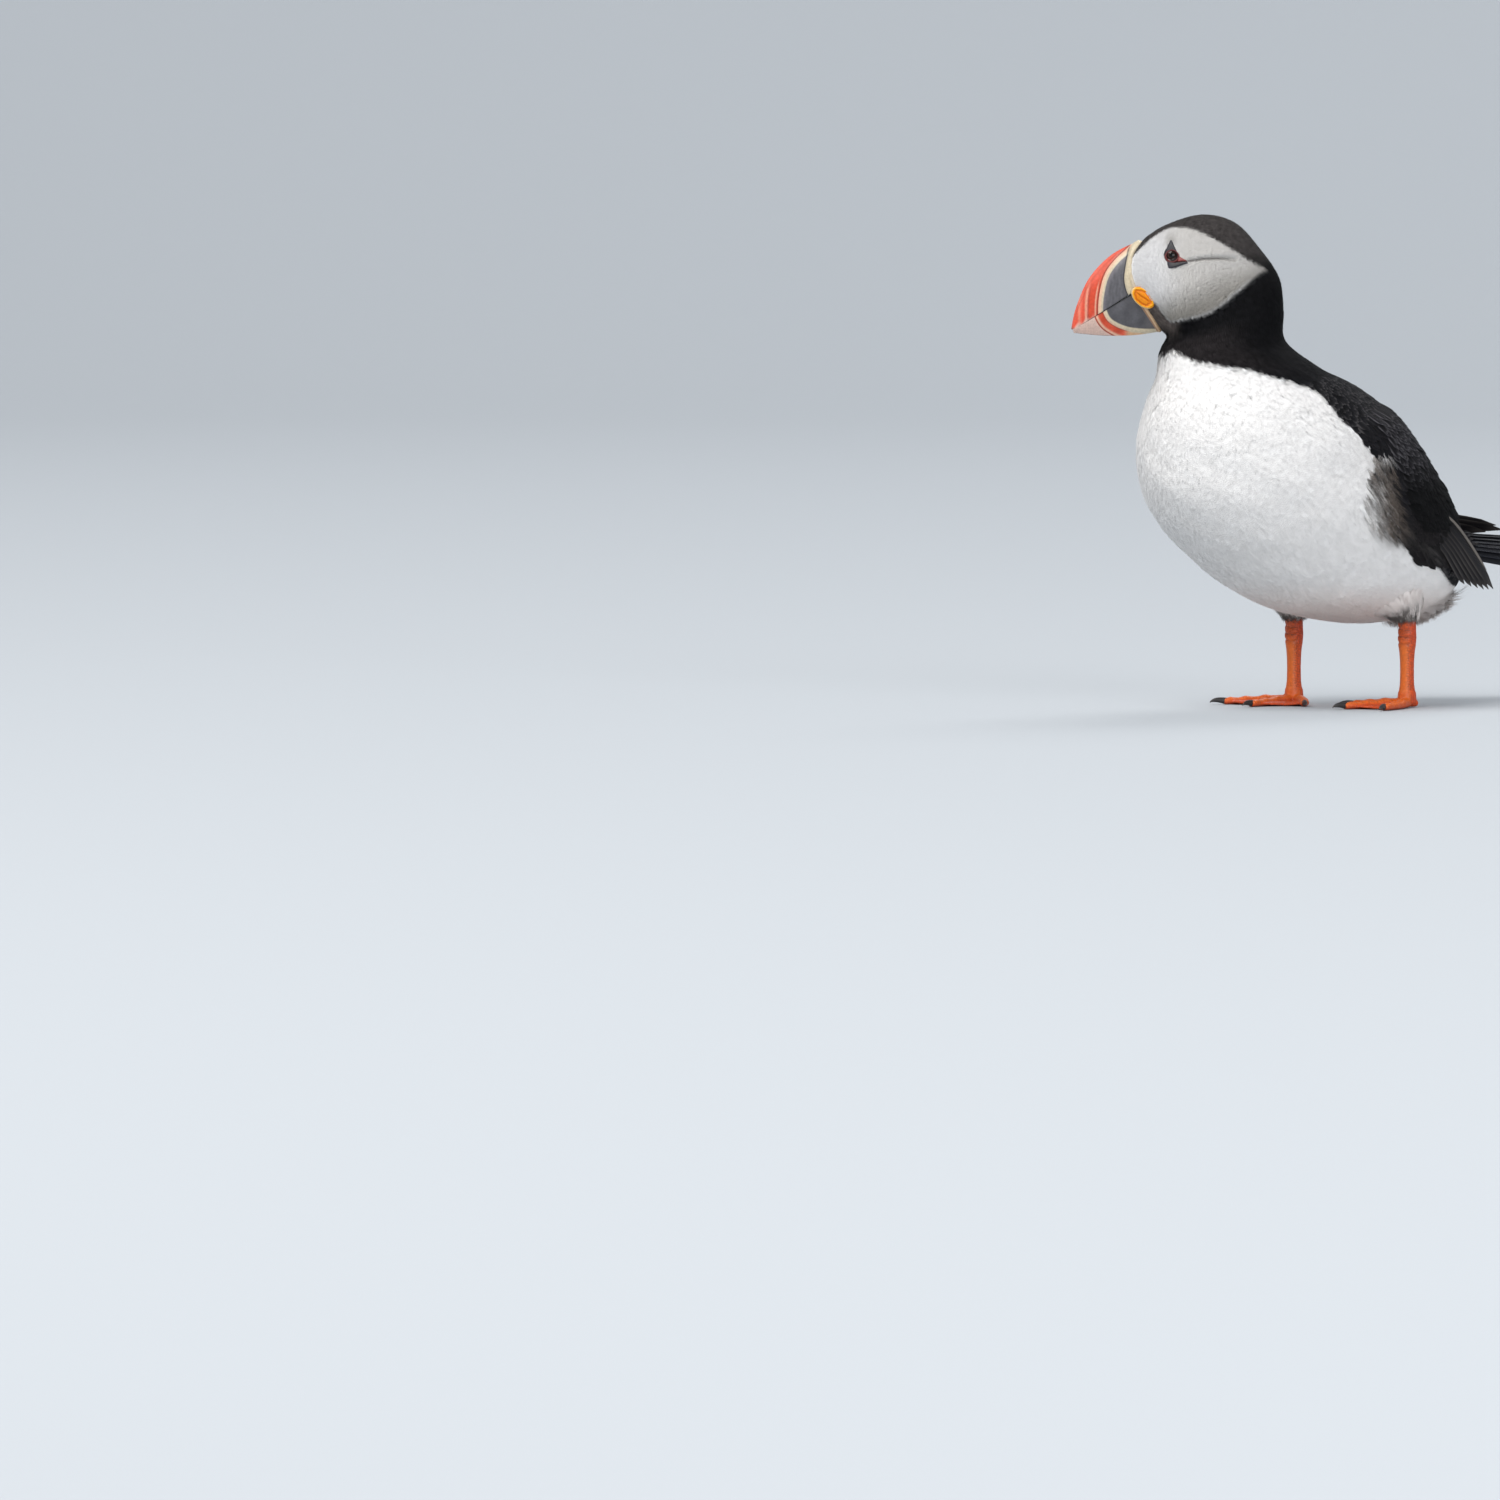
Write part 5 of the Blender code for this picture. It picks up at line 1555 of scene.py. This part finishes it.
# The row of secondaries on each side: first and last root, how many feathers, their lengths and half widths,
# lift, how much higher the last one lies, turn, how deep the roots go, and unevenness.
WING_ROWS = {
    "left": [((13.5, 82), (14.3, 50), 16, (22, 30), (2.5, 3.4), 0.5, 0.7, 0.05, 1.2, 2.0)],
    "right": [((13.4, 75), (14.2, 30), 17, (24, 30), (2.8, 3.4), 0.5, 0.7, -0.10, 1.2, 2.0)],
}
covert_gap, lobe_gap = by_section([0], [2.0]), by_section([0], [2.5])
covert_length = by_section([9.7, 12, 15], [7.5, 10.5, 13.0])
lobe_length = by_section([9.8, 11, 13], [9.5, 13.0, 15.0])
# The scapulars' edges are pale at the shoulder and black on the lobe.
lobe_edge = by_section([10.6, 11.6], [0.75, 0.04])
finished(lay_feathers("wing_coverts", FIRM_VANE, (9.7, 15.4), covert_gap, covert_length, 0.19,
                      on_folded_wing, 31, loose=0.9, arch=0.25, edge=(WING_EDGE, 0.35), lift=0.8,
                      speckle=0.2, even=0.45, tint=covert_tint), firm_black)
for side_name, hand in (("left", 1), ("right", -1)):
    finished(lay_wing("secondaries_" + side_name, hand, WING_ROWS[side_name], BROAD_VANE, 32 + hand, 0.16,
                      (WING_EDGE, 0.4)), firm_black)
finished(lay_feathers("scapulars", FIRM_VANE, (9.8, 13.0), lobe_gap, lobe_length, 0.17, on_lobe, 36,
                      loose=0.9, arch=0.3, edge=(colour(112, 110, 114), lobe_edge), lift=2.0, speckle=0.25,
                      even=0.35, tint=lobe_tint), firm_black)

# ---------------------------------------------------------------------------------------------------
# Primaries. The long stiff flight feathers of each wing, closed into a narrow bundle whose tips step back
# one behind the other. The right wing lies higher, over the tail.
# ---------------------------------------------------------------------------------------------------

# For each side: a place on the first quill, the end of it and the side the bundle faces; how deep the roots
# go, the quills' half width and the first one's pale tint; and for every quill how far its end steps on from
# the first one's and how far it lies below it.
FLIGHT = {
    "left": (
        ((42.8, 52.3, 85.9), (24.7, 85.7, 60.0), (0.875, 0.48, 0.0)), (4.5, 3.0, colour(128, 121, 114)),
        [(0.0, 0.0), (10.3, 3.0), (6.8, 5.4), (3.0, 7.8), (-2.0, 10.2), (-7.5, 12.8), (-13.5, 15.4)],
    ),
    "right": (
        ((-19.0, 67.0, 86.6), (-3.5, 103.0, 82.2), (-0.80, 0.10, 0.60)), (10.0, 2.9, colour(84, 79, 77)),
        [(0.0, 0.0), (7.0, -2.2), (11.0, -4.2), (3.0, -6.2)],
    ),
}
quill_finish = feather_finish("flight feathers", 0.5, 60.0, 0.5, Specular_IOR_Level=0.12)
for side_name, (places, (sink, half_width, first_tint), steps) in FLIGHT.items():
    rng = np.random.default_rng(41)
    root, tip, facing = np.array(places)
    way = unit(tip - root)
    across = unit(np.cross(way, facing))
    out = np.cross(across, way)
    count = len(steps)
    rows = []
    t = np.linspace(0, 1, 9)
    for k, (on, over) in enumerate(steps):
        end = tip + way * on + across * over
        begin = root - way * 9 + across * over * 0.8
        place = begin + (end - begin) * t[:, None]
        bow = 0.9 * np.sin(math.pi * t) - sink * np.clip(1 - t / 0.36, 0, 1) ** 2 - 0.3 * k
        rows.append(place + out * bow[:, None])
    rows = (np.array(rows) - MIDDLE) * MM
    outs = np.broadcast_to(out, rows.shape)
    sides = np.broadcast_to(across, rows.shape)
    halves = np.full(count, half_width)
    halves[0] = 0.8
    tints = np.repeat(colour(26, 24, 26)[None], count, 0)
    tints[0] = first_tint
    tints = tints * rng.normal(1, 0.08, count)[:, None]
    roots = np.stack([np.linspace(0, 1, count), np.zeros(count)], 1)
    made = feather_mesh("flight_feathers_" + side_name, QUILL_VANE, (rows, outs, sides), halves, 0.03, tints,
                        roots, 42, ragged=0.0, twist=0.02, edge=(colour(96, 90, 86), 0.6), even=0.5, dim=0.1)
    finished(made, quill_finish)
    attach(made, "root")
    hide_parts("primaries_" + side_name)

# ---------------------------------------------------------------------------------------------------
# Tail. Sixteen short stiff feathers in a closed fan with a rounded end, the middle pair on top, with coverts
# over their roots: black above, white below.
# ---------------------------------------------------------------------------------------------------

# The tail's middle line, root and tip, and how far its edges hang below it at the widest.
TAIL_ROOT, TAIL_TIP = np.array([0.0, 60.0, 77.5]), np.array([0.0, 121.0, 73.2])
TAIL_ARCH = 15.0


def tail_place(t, across, above=0.0):
    """A point of the tail's upper side: t from root to tip, across from -1 to 1."""
    t, across, above = spread_alike(t, across, above)
    run = t * (1 - 0.13 * across**2)
    half = 7.0 + 13.0 * np.sin(run * math.pi * 0.42) / math.sin(math.pi * 0.42)
    at = TAIL_ROOT + (TAIL_TIP - TAIL_ROOT) * run[..., None]
    x = across * half
    z = at[..., 2] - TAIL_ARCH * across**2 * half / 20.0 + above
    return (np.stack([x, at[..., 1], z], -1) - MIDDLE) * MM


def tail_feathers(name, count, spread, reach, half_width, lifts, base, vane, finish, seed, edge):
    """A fan of feathers over the tail. reach is where they start and stop from root to tip, lifts how high
    they lie there."""
    rng = np.random.default_rng(seed)
    t = np.linspace(0, 1, 7)
    centre = np.linspace(-spread, spread, count)
    from_middle = np.abs(centre) / max(spread, 1e-6)
    run = reach[0] + (reach[1] - reach[0]) * t[None] + rng.normal(0, 0.008, count)[:, None]
    across = centre[:, None] + 0 * run
    above = lifts[0] + (lifts[1] - lifts[0]) * t[None] + 1.3 * (1 - from_middle[:, None])
    above = above + rng.normal(0, 0.06, count)[:, None]
    rows = tail_place(run, across, above)
    one, other = tail_place(run, across + 0.02, above), tail_place(run, across - 0.02, above)
    sides = unit(one - other)
    way = unit(np.gradient(rows, axis=1))
    outs = unit(np.cross(sides, way))
    outs = outs * np.sign(outs[..., 2:3])
    roots = np.stack([np.linspace(0, 1, count), np.zeros(count)], 1)
    made = feather_mesh(name, vane, (rows, outs, sides), np.full(count, half_width), 0.05,
                        wing_tints(rng, count, base, 0.08), roots, seed, ragged=0.0, twist=0.02, edge=edge,
                        even=0.5, lean=0.07 * np.sign(centre))
    finished(made, finish)
    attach(made, "root")
    return made


# The tail feathers' edges are paler, and their blue-grey tint is a painted sheen.
tail = tail_feathers("tail_feathers", 16, 0.88, (0.0, 1.0), 3.4, (0.0, 0.0), colour(14, 15, 20), TAIL_VANE,
                     quill_finish, 51, (colour(50, 54, 64), 0.3))
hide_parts("tail")
for name, reach, lifts, seed in (
    ("tail_coverts_above_1", (0.10, 0.54), (0.3, 0.9), 52),
    ("tail_coverts_above_2", (0.02, 0.42), (0.8, 1.3), 53),
):
    tail_feathers(name, 11, 0.8, reach, 3.6, lifts, colour(27, 27, 30), BROAD_VANE, firm_black, seed,
                  (WING_EDGE, 0.4))

# ---------------------------------------------------------------------------------------------------
# Thigh feathers, flank fringe and vent. Loose hair-like feathers: brown-grey in front of the wing's edge and
# round the ankles, white at the vent under the tail.
# ---------------------------------------------------------------------------------------------------

# The underside seen from below, to find how high the belly lies over a place on the ground.
s, angle = np.meshgrid(np.arange(10.5, VENT, 0.1), np.radians(np.arange(90, 271, 3.0)), indexing="ij")
underside, _ = outline(s.ravel(), angle.ravel())
plan = kdtree.KDTree(len(underside))
for k, place in enumerate(underside):
    plan.insert((place[0], place[1], 0), k)
plan.balance()


def lay_cuff(side, seed):
    """Hair-like feathers that gather from the belly round a leg down to its bare part."""
    rng = np.random.default_rng(seed)
    count = 2200
    ankle = np.array([*ANKLES[side], 0.0])
    around = rng.uniform(0, math.tau, count)
    spread = rng.random(count) ** 0.7
    ray = np.stack([np.cos(around), np.sin(around), 0 * around], 1)
    start = ankle * [0.84, 1, 1] - [0, 3.0, 0] + ray * (4.5 + 9.5 * spread)[:, None]
    near = [plan.find((*((p[:2] - MIDDLE[:2]) * MM), 0))[1] for p in start]
    start[:, 2] = (underside[near] / MM + MIDDLE)[:, 2] + 0.6
    end = ankle + ray * rng.normal(4.5, 0.25, count)[:, None]
    end[:, 2] = 36.6 + 3.8 * rng.random(count) ** 1.3
    bend = ankle * [0.95, 1, 1] - [0, 0.8, 0] + ray * (5.4 + 3.2 * spread)[:, None]
    bend[:, 2] = 42.4 + 0.25 * np.maximum(start[:, 2] - 46, 0)
    first = rng.random(count) * 0.62 - 0.04
    reach = np.linspace(0, 0.42, PLACES) * (1 + 0.12 * rng.normal(0, 1, count))[:, None]
    t = np.clip(first[:, None] + reach, 0, 1.04)[..., None]
    rows = start[:, None] * (1 - t) ** 2 + 2 * bend[:, None] * t * (1 - t) + end[:, None] * t**2
    outs = unit(ray[:, None] - [0, 0, 0.5] * (1 - t))
    raised = np.linspace(-1.0, 0.5, PLACES) + rng.normal(0, 0.3, (count, 1)) * np.linspace(0, 1, PLACES)
    rows = (rows + outs * raised[..., None] - MIDDLE) * MM
    sides = unit(np.cross(unit(np.gradient(rows, axis=1)), outs))
    front = 0.5 - 0.5 * np.sin(around)
    t = t[..., 0]
    tuft = np.maximum(np.cos(around - 5.3), np.cos(2 * around + 1.4)) > 0.15
    dark = rise(0.72, 0.95, t + 0.16 * (front[:, None] - 0.5) + rng.normal(0, 0.06, (count, 1)))
    hair = (rng.random(count) < 0.58 + 0.27 * front) & tuft
    dark = np.maximum(dark, hair[:, None] * rise(0.34, 0.6, t) * 0.92)
    tints = mixed(mixed(WHITE, BELLY_WHITE, 0.7), colour(46, 36, 30), dark * 0.97)
    roots = np.stack([first, around / math.tau], 1)
    halves = rng.normal(0.85, 0.12, count)
    made = feather_mesh("thigh_feathers_" + side, LOOSE_VANE, (rows, outs, sides), halves, 0.2, tints, roots,
                        seed, ragged=0.2, twist=0.2, even=0.8, dim=0.06)
    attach(made, "root")
    return finished(made, soft_white)


for side, seed in (("left", 62), ("right", 60)):
    lay_cuff(side, seed)

# How many degrees wide the fringe is along the wing's edge, by section.
FRINGE_AT, FRINGE_WIDE = [10.7, 11.3, 12, 12.8, 13.4, 14.2, 16, 17], [4, 12, 17, 15, 7, 2.5, 1, 0]


def on_fringe(s, angle, marks):
    """A strip of white along the wing's lower edge."""
    deg = np.degrees(np.abs(angle))
    edge = np.interp(s + 0.8, *BACK_EDGE)
    return (deg > edge + 0.5) & (deg < edge + np.interp(s, FRINGE_AT, FRINGE_WIDE)) & (s > 10.7)


def fringe_tint(s, angle, tints, rng):
    """Brown-grey hairs on the front of the flank, black ones along the wing's lower edge behind it."""
    deg = np.degrees(np.abs(angle))
    out = deg - np.interp(s + 0.8, *BACK_EDGE)
    near = rise(18, 8, out + rng.normal(0, 3.0, len(s)))
    hair = rng.random(len(s))
    dark_hair = rise(0.52, 0.72, hair) * rise(17, 10, out)
    brown = mixed(colour(100, 90, 82), colour(44, 38, 35), dark_hair)
    brown = mixed(brown, colour(178, 170, 163), rise(0.2, 0.05, hair) * rise(3, 8, out))
    brown = mixed(tints, brown, near * rise(10.5, 11.0, s))
    low = rise(12.7, 13.3, s + 0.06 * (4 - out))
    return mixed(brown, colour(34, 30, 29), low)


loose_gap, fringe_length, vent_length = (by_section([0], [size]) for size in (1.5, 11.5, 17.0))
finished(lay_feathers("flank_fringe", LOOSE_VANE, (10.1, 17.0), loose_gap, fringe_length, 0.075, on_fringe,
                      63, loose=1.6, lift=1.5, speckle=0.16, even=0.5, droop=0.08, tint=fringe_tint),
         soft_white)


def vent_border(s):
    """Where the vent's loose feathers begin: degrees from the back's middle."""
    return np.interp(s, [14.5, 16.5, 18, 19], [140, 108, 80, 66])


def on_vent(s, angle, marks):
    """The white round the vent, from the belly to the tail."""
    return (np.degrees(np.abs(angle)) > vent_border(s)) & (s > 14.8)


def vent_lift(s, deg):
    """How far the loose feathers under the tail stand out."""
    return 0.3 + 20.0 * rise(16.8, 18.1, s) * rise(0, 30, deg - vent_border(s))


finished(lay_feathers("vent_feathers", LOOSE_VANE, (14.8, 18.9), loose_gap, vent_length, 0.085, on_vent, 64,
                      loose=1.4, lift=vent_lift, speckle=0.02, even=0.9), soft_white)

# ---------------------------------------------------------------------------------------------------
# Floor, lights and camera: a pale floor that runs up into a backdrop, three soft lights and a long lens
# from the bird's left front, low down.
# ---------------------------------------------------------------------------------------------------

# The floor in metres, as seen along the camera's way: how far it comes forward, how far back it stays level,
# the radius of the bend up into the backdrop, and half of its width.
FLOOR_NEAR, FLOOR_FAR, BEND, FLOOR_HALF = 6, 4.0, 3, 9
sweep = []
for k in range(41):
    t = k / 40
    if t < 0.5:
        sweep.append((-FLOOR_NEAR + t * 2 * (FLOOR_NEAR + FLOOR_FAR), 0.0))
    else:
        a = (t - 0.5) * math.pi
        sweep.append((FLOOR_FAR + BEND * math.sin(a), BEND - BEND * math.cos(a)))
VIEW_ROUND, VIEW_UP = 57, 3
view = math.radians(VIEW_ROUND)
right = Vector((math.cos(view), math.sin(view), 0))
away = Vector((-math.sin(view), math.cos(view), 0))
rows = []
for depth, height in sweep:
    line = away * depth + Vector((0, 0, height))
    rows.append([right * w + line for w in (-FLOOR_HALF, 0, FLOOR_HALF)])
floor = add_mesh("floor", np.array(rows).reshape(-1, 3), grid_faces(len(rows), 3))
floor_paint = bpy.data.materials.new("pale floor")
floor_paint.use_nodes = True
floor_shader = floor_paint.node_tree.nodes["Principled BSDF"]
floor_shader.inputs["Base Color"].default_value = (0.46, 0.49, 0.52, 1)
floor_shader.inputs["Roughness"].default_value = 0.8
floor.data.materials.append(floor_paint)

world = bpy.data.worlds.new("studio")
world.use_nodes = True
sky = world.node_tree.nodes["Background"]
sky.inputs["Color"].default_value = (0.86, 0.90, 0.96, 1)
sky.inputs["Strength"].default_value = 0.48
scene.world = world


def add_light(name, place, size, power, tint):
    """A square soft light that faces the bird's middle."""
    lamp = bpy.data.lights.new(name, "AREA")
    lamp.size = size
    lamp.energy = power
    lamp.color = tint
    holder = bpy.data.objects.new(name, lamp)
    holder.location = place
    aim = Vector((0, 0, 0.11)) - place
    holder.rotation_euler = aim.to_track_quat("-Z", "Y").to_euler()
    scene.collection.objects.link(holder)


toward = -away
add_light("key light", Vector((0, 0, 5.4)) - right * 2.6 + toward * 2.4, 4.4, 400, (1, 0.985, 0.96))
add_light("fill light", Vector((0, 0, 1.5)) + right * 2.4 + toward * 5.4, 3.6, 150, (0.98, 0.985, 1))
add_light("back light", Vector((0, 0, 4.6)) + right * 1.5 - toward * 4.0, 3.0, 110, (1, 1, 1))

lens = bpy.data.cameras.new("camera")
lens.sensor_width = 36
lens.lens = 400
lens.clip_start = 0.1
lens.clip_end = 60
camera = bpy.data.objects.new("camera", lens)
lift = math.radians(VIEW_UP)
back = Vector((math.sin(view) * math.cos(lift), -math.cos(view) * math.cos(lift), math.sin(lift)))
up = back.cross(right)
# How far off the camera stands, and how far beside and below the bird it aims.
CAMERA_OFF, AIM_ASIDE, AIM_BELOW = 7.5, 0.2475, 0.01935
aim = -AIM_ASIDE * right - AIM_BELOW * up - Vector(MIDDLE * MM)
turned_to = Matrix((right, up, back)).transposed().to_4x4()
camera.matrix_world = Matrix.Translation(aim + back * CAMERA_OFF) @ turned_to
scene.collection.objects.link(camera)
scene.camera = camera
scene.view_settings.view_transform = "Standard"
